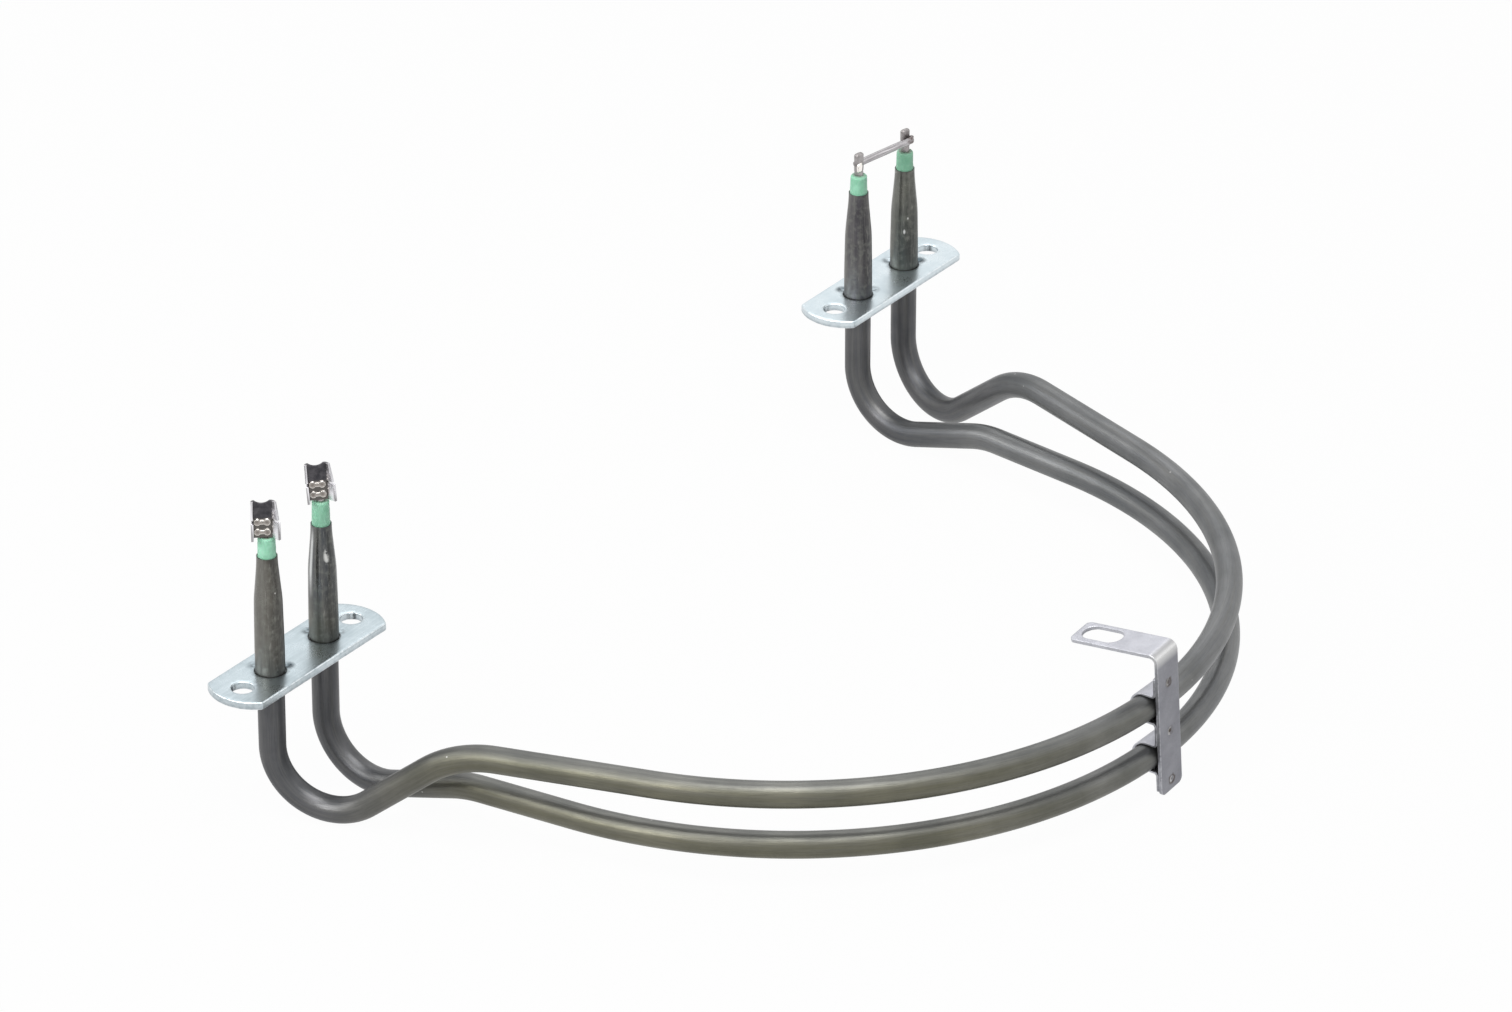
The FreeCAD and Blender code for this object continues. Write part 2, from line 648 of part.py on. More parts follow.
def support_bracket():
    """An angle of strip steel: the leg stands against the tubes, the flange points inward."""
    name = "support_bracket"
    body = new_body(name, x="Sizes.bracket_offset", y=f"{leg_inner_face} - Sizes.bracket_sheet", z=middle_level)
    sketch = new_sketch(body, f"{name}_profile", "YZ_Plane")
    sheet_y = "Sizes.bracket_sheet * sin(Sizes.flange_droop)"
    sheet_z = "Sizes.bracket_sheet * cos(Sizes.flange_droop)"
    tip_y = "Sizes.flange_length * cos(Sizes.flange_droop)"
    tip_z = "Sizes.leg_rise - Sizes.flange_length * sin(Sizes.flange_droop)"
    inner_z = ("Sizes.leg_rise - Sizes.bracket_sheet * tan(Sizes.flange_droop)"
               " - Sizes.bracket_sheet / cos(Sizes.flange_droop)")
    outline(sketch, [
        ("0", "-Sizes.leg_fall"),
        ("0", "Sizes.leg_rise"),
        (tip_y, tip_z),
        (f"{tip_y} - {sheet_y}", f"{tip_z} - {sheet_z}"),
        ("Sizes.bracket_sheet", inner_z),
        ("Sizes.bracket_sheet", "-Sizes.leg_fall"),
    ])
    blank = extrude(body, "Pad", f"{name}_blank", sketch, "Sizes.strip_width", "Symmetric")

    def along_x(edge):
        return abs(edge.tangentAt(edge.FirstParameter).x) > 0.999

    def outer_bend(middle, edge):
        return along_x(edge) and near(middle.y, 0) and near(middle.z, size("leg_rise"))

    inner_level = evaluate(inner_z)

    def inner_bend(middle, edge):
        return along_x(edge) and near(middle.y, size("bracket_sheet")) and near(middle.z, inner_level)

    folded = round_edges(body, f"{name}_inner_bend", blank, "Sizes.bracket_bend_radius", inner_bend)
    folded = round_edges(body, f"{name}_outer_bend", folded,
                         "Sizes.bracket_bend_radius + Sizes.bracket_sheet", outer_bend)
    half = size("strip_width") / 2
    tip_level = evaluate(tip_y) - size("bracket_sheet")

    def free_corner(middle, edge):
        at_side = near(abs(middle.x), half) and near(edge.Length, size("bracket_sheet"))
        return at_side and (middle.y > tip_level or near(middle.z, -size("leg_fall")))

    round_edges(body, f"{name}_corners", folded, "Sizes.bracket_corner_radius", free_corner)

    slot = new_sketch(body, f"{name}_slot_view", "XY_Plane")
    radius = "Sizes.slot_width / 2"
    far = f"(Sizes.flange_length - Sizes.slot_margin) * cos(Sizes.flange_droop) - {radius}"
    near_end = f"{far} - Sizes.slot_length + Sizes.slot_width"
    x = size("slot_offset")
    half_slot = size("slot_width") / 2
    low, high = evaluate(near_end), evaluate(far)
    vector = FreeCAD.Vector
    axis = vector(0, 0, 1)
    slot.addGeometry([
        Part.LineSegment(vector(x + half_slot, low, 0), vector(x + half_slot, high, 0)),
        Part.ArcOfCircle(Part.Circle(vector(x, high, 0), axis, half_slot), 0, math.pi),
        Part.LineSegment(vector(x - half_slot, high, 0), vector(x - half_slot, low, 0)),
        Part.ArcOfCircle(Part.Circle(vector(x, low, 0), axis, half_slot), math.pi, 2 * math.pi),
    ], False)
    for first, second in ((0, 1), (1, 2), (2, 3), (3, 0)):
        slot.addConstraint(Sketcher.Constraint("Coincident", first, 2, second, 1))
    place_point(slot, 1, 3, y=far)
    place_point(slot, 3, 3, y=near_end)
    place_point(slot, 0, 1, f"Sizes.slot_offset + {radius}", near_end)
    place_point(slot, 0, 2, f"Sizes.slot_offset + {radius}", far)
    place_point(slot, 2, 1, f"Sizes.slot_offset - {radius}", far)
    place_point(slot, 2, 2, f"Sizes.slot_offset - {radius}", near_end)
    extrude(body, "Pocket", f"{name}_slot", slot, "4 * Sizes.leg_rise", "Symmetric")

    spots = new_sketch(body, f"{name}_weld_view", "XZ_Plane")
    for level in (foot_middle, "0", f"-({foot_middle})"):
        circle(spots, "0", level, "Sizes.weld_spot_diameter / 2")
    extrude(body, "Pocket", f"{name}_welds", spots, "Sizes.weld_spot_depth")
    turn(body, FreeCAD.Vector(0, 1, 0), "-Sizes.bracket_lean")
    nodes[name] = body


loop_bore = "(Sizes.tube_diameter / 2 + Sizes.loop_gap)"
loop_top = f"(Sizes.ring_pitch / 2 + {loop_bore} + Sizes.clamp_sheet)"
foot_end = f"({loop_top} + Sizes.foot_bend_radius + Sizes.foot_length)"
foot_middle = f"({loop_top} + Sizes.foot_bend_radius + Sizes.foot_length / 2)"


def clamp_strip():
    """A strip with two loops that hold the tubes against the leg and three welded feet.

    The loops run along the tubes, while the strip's sides follow the leaning leg.
    """
    name = "clamp_strip"
    body = new_body(name, x="Sizes.bracket_offset", y=leg_inner_face, z=middle_level)
    gap = "Sizes.weld_gap"
    feet = new_sketch(body, f"{name}_feet_view", "YZ_Plane")
    outline(feet, [
        (gap, f"-{foot_end}"),
        (f"{gap} + Sizes.clamp_sheet", f"-{foot_end}"),
        (f"{gap} + Sizes.clamp_sheet", foot_end),
        (gap, foot_end),
    ])
    blank_width = "2 * Sizes.strip_width"
    extrude(body, "Pad", f"{name}_feet", feet, blank_width, "Symmetric")
    centre = "Sizes.tube_diameter / 2 + Sizes.bracket_gap"

    def arch(title, kind, radius, foot):
        """One loop seen from the side: a straight throat and a half round."""
        view = new_sketch(body, f"{name}_{title}_view", "YZ_Plane")
        number = evaluate(radius)
        y = evaluate(centre)
        z = size("ring_pitch") / 2
        start = evaluate(foot)
        vector = FreeCAD.Vector
        bow = Part.Circle(vector(y, z, 0), vector(0, 0, 1), number)
        view.addGeometry([
            Part.LineSegment(vector(start, z - number, 0), vector(y, z - number, 0)),
            Part.ArcOfCircle(bow, -math.pi / 2, math.pi / 2),
            Part.LineSegment(vector(y, z + number, 0), vector(start, z + number, 0)),
            Part.LineSegment(vector(start, z + number, 0), vector(start, z - number, 0)),
        ], False)
        for first, second in ((0, 1), (1, 2), (2, 3), (3, 0)):
            view.addConstraint(Sketcher.Constraint("Coincident", first, 2, second, 1))
        place_point(view, 1, 3, x=centre)
        place_point(view, 0, 1, foot, f"Sizes.ring_pitch / 2 - {radius}")
        place_point(view, 0, 2, centre, f"Sizes.ring_pitch / 2 - {radius}")
        place_point(view, 2, 1, centre, f"Sizes.ring_pitch / 2 + {radius}")
        place_point(view, 2, 2, foot, f"Sizes.ring_pitch / 2 + {radius}")
        return extrude(body, kind, f"{name}_{title}", view, blank_width, "Symmetric"), view

    loop, view = arch("loop", "Pad", f"({loop_bore} + Sizes.clamp_sheet)", gap)
    throat, _ = arch("throat", "Pocket", loop_bore, "-Sizes.clamp_sheet")
    pattern = body.newObject("PartDesign::LinearPattern", f"{name}_loops")
    pattern.Originals = [loop, throat]
    pattern.Direction = (view, ["V_Axis"])
    pattern.Reversed = True
    pattern.Occurrences = 2
    pattern.Mode = "Spacing"
    pattern.setExpression("Offset", "Sizes.ring_pitch")
    body.Tip = pattern

    bore = evaluate(loop_bore)
    half_pitch = size("ring_pitch") / 2
    face = size("weld_gap")

    def at_level(middle, reach):
        return any(near(abs(middle.z), abs(half_pitch + sign * reach)) for sign in (1, -1))

    def along_x(edge):
        return abs(edge.tangentAt(edge.FirstParameter).x) > 0.999

    def inner_corner(middle, edge):
        reach = bore + size("clamp_sheet")
        return along_x(edge) and near(middle.y, face + size("clamp_sheet")) and at_level(middle, reach)

    def outer_corner(middle, edge):
        return along_x(edge) and near(middle.y, face) and at_level(middle, bore)

    bent = round_edges(body, f"{name}_inner_bends", pattern, "Sizes.foot_bend_radius", inner_corner)
    round_edges(body, f"{name}_outer_bends", bent, "Sizes.foot_bend_radius + Sizes.clamp_sheet", outer_corner)

    trim = new_sketch(body, f"{name}_sides_view", "XZ_Plane")
    side = "Sizes.strip_width / 2 / cos(Sizes.bracket_lean)"
    sway = f"{foot_end} * tan(Sizes.bracket_lean)"
    for sign in ("", "-"):
        outline(trim, [
            (f"{sign}{side} - {sway}", foot_end),
            (f"{sign}2 * {blank_width}", foot_end),
            (f"{sign}2 * {blank_width}", f"-{foot_end}"),
            (f"{sign}{side} + {sway}", f"-{foot_end}"),
        ])
    extrude(body, "Pocket", f"{name}_sides", trim, "4 * Sizes.ring_pitch", "Symmetric")
    nodes[name] = body


for tube in ("upper", "lower"):
    tube_assembly(tube)
    terminal_clip(tube)
for side in signs:
    flange_plate(side)
bridge_wire()
support_bracket()
clamp_strip()
doc.recompute()

# Check every object, then write one file for each piece
for item in doc.Objects:
    if "Invalid" in item.State or "Error" in item.State:
        raise RuntimeError(f"{item.Name} did not build: {item.State}")
for name, item in nodes.items():
    item.Label = name
    if item.Shape.isNull() or not item.Shape.isValid() or len(item.Shape.Solids) != 1:
        raise RuntimeError(f"{name} is not one valid solid")

for tube in ("upper", "lower"):
    line = route(tube, -size("neck_drop")).Length
    area = math.pi * (size("tube_diameter") / 2) ** 2
    bar = doc.getObject(f"{tube}_skin").Shape.Volume
    print(f"{tube} tube: centre line {line:.1f} mm, swept volume {bar:.0f}, section times length {area * line:.0f}")

os.makedirs("parts", exist_ok=True)
for name, item in nodes.items():
    item.Shape.exportStep(f"parts/{name}.step")
    print(f"{name}: {item.Shape.Volume:.1f} cubic mm")
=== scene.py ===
# Tubular heating element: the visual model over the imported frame
import math
from collections import namedtuple
import bmesh
import bpy
from mathutils import Matrix, Vector, noise
from mathutils.geometry import delaunay_2d_cdt
from mathutils.kdtree import KDTree


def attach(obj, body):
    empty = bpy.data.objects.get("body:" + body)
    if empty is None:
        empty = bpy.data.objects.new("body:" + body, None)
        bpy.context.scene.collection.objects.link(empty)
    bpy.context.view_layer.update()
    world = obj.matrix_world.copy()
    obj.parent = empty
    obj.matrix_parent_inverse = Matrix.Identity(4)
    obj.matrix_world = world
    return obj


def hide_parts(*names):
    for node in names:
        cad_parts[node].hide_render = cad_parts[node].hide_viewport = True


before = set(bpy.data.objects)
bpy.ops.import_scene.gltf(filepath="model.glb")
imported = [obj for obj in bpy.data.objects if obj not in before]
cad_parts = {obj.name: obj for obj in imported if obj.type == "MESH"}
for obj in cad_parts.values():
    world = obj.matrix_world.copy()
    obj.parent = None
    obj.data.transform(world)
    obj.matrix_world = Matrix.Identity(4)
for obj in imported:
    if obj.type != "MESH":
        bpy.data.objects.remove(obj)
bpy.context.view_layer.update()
mm = 0.001  # every size below is in millimetres, every mesh in metres
print("frame loaded:", len(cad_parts), "nodes")


# Shader helpers

class Nodes:
    # short ways to add shader nodes to one tree; each value is a constant or another node's socket

    def __init__(self, tree):
        self.tree = tree

    def fill(self, node, values):
        for key, value in values.items():
            if isinstance(value, bpy.types.NodeSocket):
                self.tree.links.new(value, node.inputs[key])
            else:
                node.inputs[key].default_value = value

    def add(self, kind, values=None, **settings):
        node = self.tree.nodes.new("ShaderNode" + kind)
        for key, value in settings.items():
            setattr(node, key, value)
        self.fill(node, values or {})
        return node

    def math(self, operation, a, b, clamp=False):
        return self.add("Math", {0: a, 1: b}, operation=operation, use_clamp=clamp).outputs[0]

    def times(self, a, b, clamp=False):
        return self.math("MULTIPLY", a, b, clamp)

    def plus(self, a, b):
        return self.math("ADD", a, b)

    def minus(self, a, b):
        return self.math("SUBTRACT", a, b)

    def ramp(self, value, low, high, toLow=0.0, toHigh=1.0):
        return self.add("MapRange", {"Value": value, "From Min": low, "From Max": high,
                                     "To Min": toLow, "To Max": toHigh}).outputs[0]

    def between(self, share, start, end):
        return self.ramp(share, 0.0, 1.0, start, end)

    def mix(self, factor, a, b):
        colours = [c if isinstance(c, bpy.types.NodeSocket) else (*c, 1.0) for c in (a, b)]
        return self.add("Mix", {0: factor, 6: colours[0], 7: colours[1]}, data_type="RGBA").outputs[2]

    def split(self, vector):
        return self.add("SeparateXYZ", {0: vector}).outputs[:3]

    def join(self, x, y, z):
        return self.add("CombineXYZ", {0: x, 1: y, 2: z}).outputs[0]

    def stored(self, name, output="Fac"):
        return self.add("Attribute", attribute_name=name).outputs[output]


class Finish(Nodes):
    # a material with one principled shader, and the effects that several finishes share

    def __init__(self, name):
        self.material = bpy.data.materials.new(name)
        self.material.use_nodes = True
        super().__init__(self.material.node_tree)
        self.tree.nodes.clear()
        self.shader = self.add("BsdfPrincipled")
        self.add("OutputMaterial", {"Surface": self.shader.outputs[0]})
        self.place = self.add("TexCoord").outputs["Object"]

    def mottle(self, vector, scale, detail, low, high):
        values = {"Vector": vector, "Scale": scale, "Detail": detail, "Low": low, "High": high}
        return Effect(*self.add("Group", values, node_tree=mottleGroup).outputs)

    def lines(self, vector, along, across, low, high):
        values = {"Vector": vector, "Along": along, "Across": across, "Low": low, "High": high}
        return Effect(*self.add("Group", values, node_tree=drawnLinesGroup).outputs)

    def specks(self, scale, size, share):
        values = {"Vector": self.place, "Scale": scale, "Size": size, "Share": share}
        return self.add("Group", values, node_tree=specksGroup).outputs[0]

    def rubbedEdges(self, scale, amount):
        values = {"Vector": self.place, "Round": self.stored("edgeRound"), "Scale": scale, "Amount": amount}
        return self.add("Group", values, node_tree=edgeRubGroup).outputs[0]

    def barFlow(self):
        # runs along a swept bar and round its section
        x, y, _ = self.split(self.stored("section", "Vector"))
        return self.join(self.stored("along"), x, y)

    def chip(self, centre, size):
        # 1 at a point of the object, fading to 0 at the given reach along X, Y and Z, all in millimetres
        away = self.add("VectorMath", {0: self.place, 1: [c * mm for c in centre]}, operation="SUBTRACT").outputs[0]
        share = self.add("VectorMath", {0: away, 1: [s * mm for s in size]}, operation="DIVIDE").outputs[0]
        return self.ramp(self.add("VectorMath", {0: share}, operation="LENGTH").outputs["Value"], 1.0, 0.45)

    def wear(self, colour, roughness, relief, depth, metallic=0.0):
        normal = self.add("Bump", {"Height": relief, "Distance": depth, "Strength": 1.0}).outputs[0]
        self.fill(self.shader, {"Base Color": colour, "Roughness": roughness, "Normal": normal, "Metallic": metallic})
        return self.material


Effect = namedtuple("Effect", "mask height")


# Effects that several finishes share; each takes a Vector and some numbers

def newGroup(name, numbers, results):
    tree = bpy.data.node_groups.new(name, "ShaderNodeTree")
    for label in ("Vector", *numbers):
        kind = "NodeSocketVector" if label == "Vector" else "NodeSocketFloat"
        tree.interface.new_socket(label, in_out="INPUT", socket_type=kind)
    for label in results:
        tree.interface.new_socket(label, in_out="OUTPUT", socket_type="NodeSocketFloat")
    return Nodes(tree), tree.nodes.new("NodeGroupInput").outputs, tree.nodes.new("NodeGroupOutput")


def makeMottleGroup():
    look, put, out = newGroup("mottle", ("Scale", "Detail", "Low", "High"), ("Mask", "Height"))
    cloud = look.add("TexNoise", {"Vector": put["Vector"], "Scale": put["Scale"], "Detail": put["Detail"],
                                  "Roughness": 0.6}).outputs[0]
    look.fill(out, {"Mask": look.ramp(cloud, put["Low"], put["High"]), "Height": cloud})
    return look.tree


def makeDrawnLinesGroup():
    # fine lines that a die leaves along a tube or a wire; Along and Across are lines per metre
    look, put, out = newGroup("drawnLines", ("Along", "Across", "Low", "High"), ("Mask", "Height"))
    x, y, z = look.split(put["Vector"])
    stretched = look.join(look.times(x, put["Along"]), look.times(y, put["Across"]), look.times(z, put["Across"]))
    lines = look.add("TexNoise", {"Vector": stretched, "Scale": 1.0, "Detail": 3.0, "Roughness": 0.55}).outputs[0]
    look.fill(out, {"Mask": look.ramp(lines, put["Low"], put["High"]), "Height": lines})
    return look.tree


def makeSpecksGroup():
    # small round marks; Share is how many of the cells carry one
    look, put, out = newGroup("specks", ("Scale", "Size", "Share"), ("Mask",))
    cells = look.add("TexVoronoi", {"Vector": put["Vector"], "Scale": put["Scale"]}).outputs
    near = look.math("LESS_THAN", cells["Distance"], put["Size"])
    rim = look.ramp(cells["Distance"], put["Size"], 0.0)
    lot = look.add("SeparateColor", {0: cells["Color"]}).outputs[0]
    chosen = look.math("LESS_THAN", lot, put["Share"])
    look.fill(out, {"Mask": look.times(look.times(near, rim), chosen, clamp=True)})
    return look.tree


def makeEdgeRubGroup():
    # Round runs from 0 on a flat face to 1 on a cut side, so it passes 0.5 on the rounded edge between
    look, put, out = newGroup("edgeRub", ("Round", "Scale", "Amount"), ("Mask",))
    peak = look.times(look.times(put["Round"], look.minus(1.0, put["Round"])), 4.0)
    cloud = look.add("TexNoise", {"Vector": put["Vector"], "Scale": put["Scale"], "Detail": 3.0}).outputs[0]
    broken = look.ramp(cloud, 0.3, 0.6)
    look.fill(out, {"Mask": look.times(look.times(peak, broken), put["Amount"], clamp=True)})
    return look.tree


mottleGroup = makeMottleGroup()
drawnLinesGroup = makeDrawnLinesGroup()
specksGroup = makeSpecksGroup()
edgeRubGroup = makeEdgeRubGroup()


# Finishes

def makeTubeFinish():
    look = Finish("annealedTubeSteel")
    x, y, z = look.split(look.place)
    flow = look.barFlow()
    clouds = look.mottle(look.place, 55.0, 5.0, 0.36, 0.66)
    grain = look.mottle(look.place, 2600.0, 3.0, 0.3, 0.7)
    lines = look.lines(flow, 40.0, 3.2, 0.42, 0.72)
    fine = look.lines(flow, 160.0, 11.0, 0.45, 0.75)
    scuffs = look.lines(flow, 330.0, 7.5, 0.6, 0.75)
    scale = look.mottle(look.place, 620.0, 6.0, 0.48, 0.7)
    nicks = look.specks(260.0, 0.07, 0.12)

    # where the annealing left which colour: olive round the left half, cooler to the right, grey on the terminals
    onTerminal = look.ramp(z, -0.004, 0.001)
    onBend = look.ramp(y, -0.045, -0.014)
    drift = look.times(clouds.height, 0.05)
    onRight = look.ramp(look.plus(x, drift), -0.035, 0.045)
    swaged = look.times(look.ramp(z, 0.012, 0.018), look.ramp(z, 0.0285, 0.0255))

    olive = look.mix(clouds.mask, (0.116, 0.114, 0.086), (0.165, 0.159, 0.117))
    cool = look.mix(clouds.mask, (0.130, 0.136, 0.141), (0.182, 0.186, 0.190))
    bluedAndSheen = look.mix(clouds.mask, (0.122, 0.127, 0.133), (0.165, 0.170, 0.176))
    dark = look.mix(clouds.mask, (0.078, 0.081, 0.088), (0.118, 0.118, 0.123))
    # the terminals differ: brown left outer, slate left inner with a brown foot, violet right inner, green right outer
    leftOuter = look.mix(clouds.mask, (0.080, 0.077, 0.068), (0.140, 0.131, 0.113))
    leftInner = look.mix(look.ramp(z, 0.005, 0.013), (0.106, 0.105, 0.086), (0.090, 0.097, 0.104))
    rightInner = look.mix(clouds.mask, (0.078, 0.074, 0.084), (0.120, 0.114, 0.123))
    rightOuter = look.mix(clouds.mask, (0.084, 0.093, 0.087), (0.154, 0.157, 0.133))
    grey = look.mix(look.ramp(x, -0.121, -0.118), leftOuter, leftInner)
    grey = look.mix(look.ramp(x, -0.01, 0.01), grey, rightInner)
    grey = look.mix(look.ramp(x, 0.118, 0.121), grey, rightOuter)
    upward = look.stored("upward")
    # the ring's upward faces are painted bluish: partly heat bluing, partly a painted sheen
    colour = look.mix(look.ramp(upward, 0.5, 0.92, 0.0, 0.65), olive, bluedAndSheen)
    colour = look.mix(onRight, colour, cool)
    colour = look.mix(onBend, colour, dark)
    paintedSideLight = look.stored("paintedSideLight")
    tone = look.plus(paintedSideLight, look.times(look.minus(clouds.height, 0.5), 0.9))
    # painted shade darkens one side of the terminals and painted light brightens the side that faces back and left
    grey = look.mix(look.ramp(tone, 0.62, 0.25, 0.0, 0.55), grey, (0.036, 0.036, 0.037))
    grey = look.mix(look.ramp(tone, 0.55, 0.95, 0.0, 0.4), grey, (0.25, 0.247, 0.235))
    colour = look.mix(onTerminal, colour, grey)
    streaked = look.between(onTerminal, 0.35, 0.55)
    colour = look.mix(look.times(lines.mask, streaked), colour, (0.195, 0.192, 0.176))
    colour = look.mix(look.times(fine.mask, 0.3), colour, (0.05, 0.05, 0.05))
    marked = look.times(scuffs.mask, look.times(onTerminal, 0.45))
    scaled = look.times(scale.mask, look.times(onTerminal, 0.4))
    colour = look.mix(scaled, colour, (0.24, 0.25, 0.22))
    colour = look.mix(marked, colour, (0.34, 0.335, 0.31))
    colour = look.mix(nicks, colour, (0.75, 0.74, 0.72))
    rough = look.between(clouds.mask, 0.42, 0.35)
    rough = look.minus(rough, look.times(swaged, 0.1))
    # the lower tube's left terminal came out of its die with a polished shoulder
    polished = look.times(look.ramp(x, -0.1125, -0.1128, 1.0, 0.0), look.ramp(x, -0.10, -0.101))
    polished = look.times(polished, look.times(look.ramp(z, 0.011, 0.018), look.ramp(z, 0.030, 0.026)))
    rough = look.minus(rough, look.times(polished, 0.15))
    # a painted highlight streak down the polished shoulder
    paintedGlint = look.times(look.ramp(paintedSideLight, 0.82, 0.87), look.ramp(paintedSideLight, 0.95, 0.91))
    colour = look.mix(look.times(polished, paintedGlint), colour, (0.64, 0.65, 0.65))
    # bright marks on the terminals: a painted highlight on the polished shoulder, three chips at the right and one long
    # scratch at the left
    broken = look.ramp(scale.height, 0.47, 0.55)
    glintAndChips = look.times(look.chip((-110.9, -2.75, 22.8), (0.9, 0.9, 2.6)), broken)
    for centre, size in (((126.75, -1.98, 10.9), (0.36, 0.36, 0.8)), ((126.9, -2.2, 20.5), (0.3, 0.3, 0.5)),
                         ((127.4, -2.6, 14.6), (0.25, 0.25, 0.4)), ((-131.7, -2.2, 5.5), (0.22, 0.22, 2.4))):
        glintAndChips = look.math("MAXIMUM", glintAndChips, look.chip(centre, size))
    colour = look.mix(look.times(glintAndChips, 0.85), colour, (0.72, 0.72, 0.70))
    rough = look.minus(rough, look.times(marked, 0.1))
    rough = look.plus(rough, look.times(grain.mask, 0.06))
    relief = look.plus(look.times(lines.height, 0.6), look.times(grain.height, 0.25))
    relief = look.plus(relief, look.times(scuffs.height, 0.4))
    return look.wear(colour, rough, relief, 0.00008, 0.85)


def makeZincFinish():
    look = Finish("brightZincPlating")
    clouds = look.mottle(look.place, 150.0, 5.0, 0.35, 0.65)
    grain = look.mottle(look.place, 3500.0, 3.0, 0.3, 0.7)
    rolled = look.lines(look.place, 60.0, 1800.0, 0.45, 0.75)
    marks = look.specks(520.0, 0.16, 0.12)
    rub = look.rubbedEdges(900.0, 0.8)
    x, _, z = look.split(look.place)
    paintedShadeOnLeft = look.ramp(x, 0.01, -0.01)  # painted light and shade: the left plate gets a darker copy of the zinc, the right plate a lighter one
    shadedZinc = look.mix(clouds.mask, (0.38, 0.445, 0.475), (0.50, 0.57, 0.605))
    clear = look.mix(clouds.mask, (0.53, 0.61, 0.65), (0.69, 0.765, 0.80))
    colour = look.mix(paintedShadeOnLeft, clear, shadedZinc)
    colour = look.mix(look.times(rolled.mask, 0.25), colour, (0.70, 0.77, 0.81))
    colour = look.mix(look.ramp(z, -0.0010, -0.00175, 0.0, 0.75), colour, (0.24, 0.28, 0.31))  # burr side of the cut
    colour = look.mix(look.times(marks, 0.5), colour, (0.25, 0.29, 0.32))
    colour = look.mix(rub, colour, (0.84, 0.88, 0.90))
    darkening = look.stored("darkening")
    # darkens the plate's top round each tube hole and punch mark, in cloudy patches
    darkenedPatch = look.times(darkening, look.ramp(clouds.height, 0.3, 0.55), clamp=True)
    colour = look.mix(darkenedPatch, colour, (0.085, 0.11, 0.125))
    rough = look.between(clouds.mask, 0.3, 0.22)
    rough = look.plus(rough, look.times(grain.mask, 0.08))
    relief = look.plus(grain.height, look.times(rolled.height, 0.5))
    return look.wear(colour, rough, relief, 0.000008, 1.0)


def makeStripFinish():
    look = Finish("satinStripSteel")
    clouds = look.mottle(look.place, 190.0, 5.0, 0.35, 0.65)
    grain = look.mottle(look.place, 4200.0, 3.0, 0.3, 0.7)
    dirt = look.specks(700.0, 0.14, 0.12)
    rub = look.rubbedEdges(1200.0, 0.7)
    paintedShadeOnLeg = look.ramp(look.split(look.place)[1], -0.1645, -0.1655)
    # painted light and shade: the flange gets a lighter and the upright leg a darker copy of one steel
    flange = look.mix(clouds.mask, (0.45, 0.455, 0.495), (0.56, 0.565, 0.61))
    leg = look.mix(clouds.mask, (0.215, 0.216, 0.240), (0.275, 0.277, 0.303))
    colour = look.mix(paintedShadeOnLeg, flange, leg)
    colour = look.mix(look.times(grain.mask, 0.25), colour, (0.22, 0.225, 0.25))
    bent = look.stored("bent")
    colour = look.mix(bent, colour, (0.62, 0.62, 0.615))  # painted highlight along the bend, which is also polished smoother
    colour = look.mix(look.times(dirt, 0.7), colour, (0.09, 0.085, 0.08))
    heat = look.stored("weldHeat")
    colour = look.mix(rub, colour, (0.66, 0.67, 0.70))
    colour = look.mix(heat, colour, (0.07, 0.054, 0.044))
    rough = look.between(grain.mask, 0.38, 0.48)
    rough = look.minus(rough, look.times(bent, 0.14))
    relief = look.plus(grain.height, look.times(clouds.height, 0.6))
    return look.wear(colour, rough, relief, 0.00005, 0.9)


def makeNickelFinish():
    # painted light and shade: painted shade darkens the web, painted reflection bands brighten the wings, a painted
    # highlight lines the crowns of the ribs and painted shade fills the dimples
    look = Finish("nickelSheet")
    crown = look.stored("crown")
    raised = look.stored("raised")
    dished = look.stored("dished")
    onWeb = look.stored("onWeb")
    across = look.stored("across")
    height = look.split(look.place)[2]
    bandPlace = look.join(look.times(height, 90.0), look.times(across, 1.3), 0.0)
    reflectionBands = look.mottle(bandPlace, 1.0, 1.0, 0.4, 0.6)
    clouds = look.mottle(look.place, 700.0, 4.0, 0.35, 0.65)
    grain = look.mottle(look.place, 5200.0, 2.0, 0.3, 0.7)
    # the wings' light and dark bands are painted reflections
    wing = look.mix(reflectionBands.mask, (0.36, 0.35, 0.36), (0.84, 0.83, 0.86))
    # painted shade: the web is dark above and less dark low down
    web = look.mix(clouds.mask, (0.048, 0.047, 0.053), (0.098, 0.094, 0.102))
    level = look.stored("level")
    web = look.mix(look.ramp(level, 5.3, 4.7), web, (0.12, 0.112, 0.105))
    rib = look.mix(clouds.mask, (0.25, 0.23, 0.21), (0.44, 0.40, 0.375))
    # painted shade in the pads' dimples
    rib = look.mix(look.times(dished, 0.6), rib, (0.15, 0.13, 0.115))
    colour = look.mix(onWeb, wing, web)
    colour = look.mix(raised, colour, rib)
    # painted highlight on the ribs' crowns
    colour = look.mix(crown, colour, (0.64, 0.61, 0.57))
    rough = look.between(clouds.mask, 0.2, 0.3)
    return look.wear(colour, rough, grain.height, 0.00001, 1.0)


def makePinFinish():
    look = Finish("scaledPinSteel")
    clouds = look.mottle(look.place, 620.0, 5.0, 0.38, 0.62)
    grain = look.mottle(look.place, 4800.0, 3.0, 0.3, 0.7)
    colour = look.mix(clouds.mask, (0.170, 0.154, 0.154), (0.365, 0.345, 0.345))
    colour = look.mix(look.times(grain.mask, 0.35), colour, (0.52, 0.50, 0.49))
    rough = look.between(clouds.mask, 0.42, 0.28)
    relief = look.plus(grain.height, clouds.height)
    return look.wear(colour, rough, relief, 0.00006, 0.9)


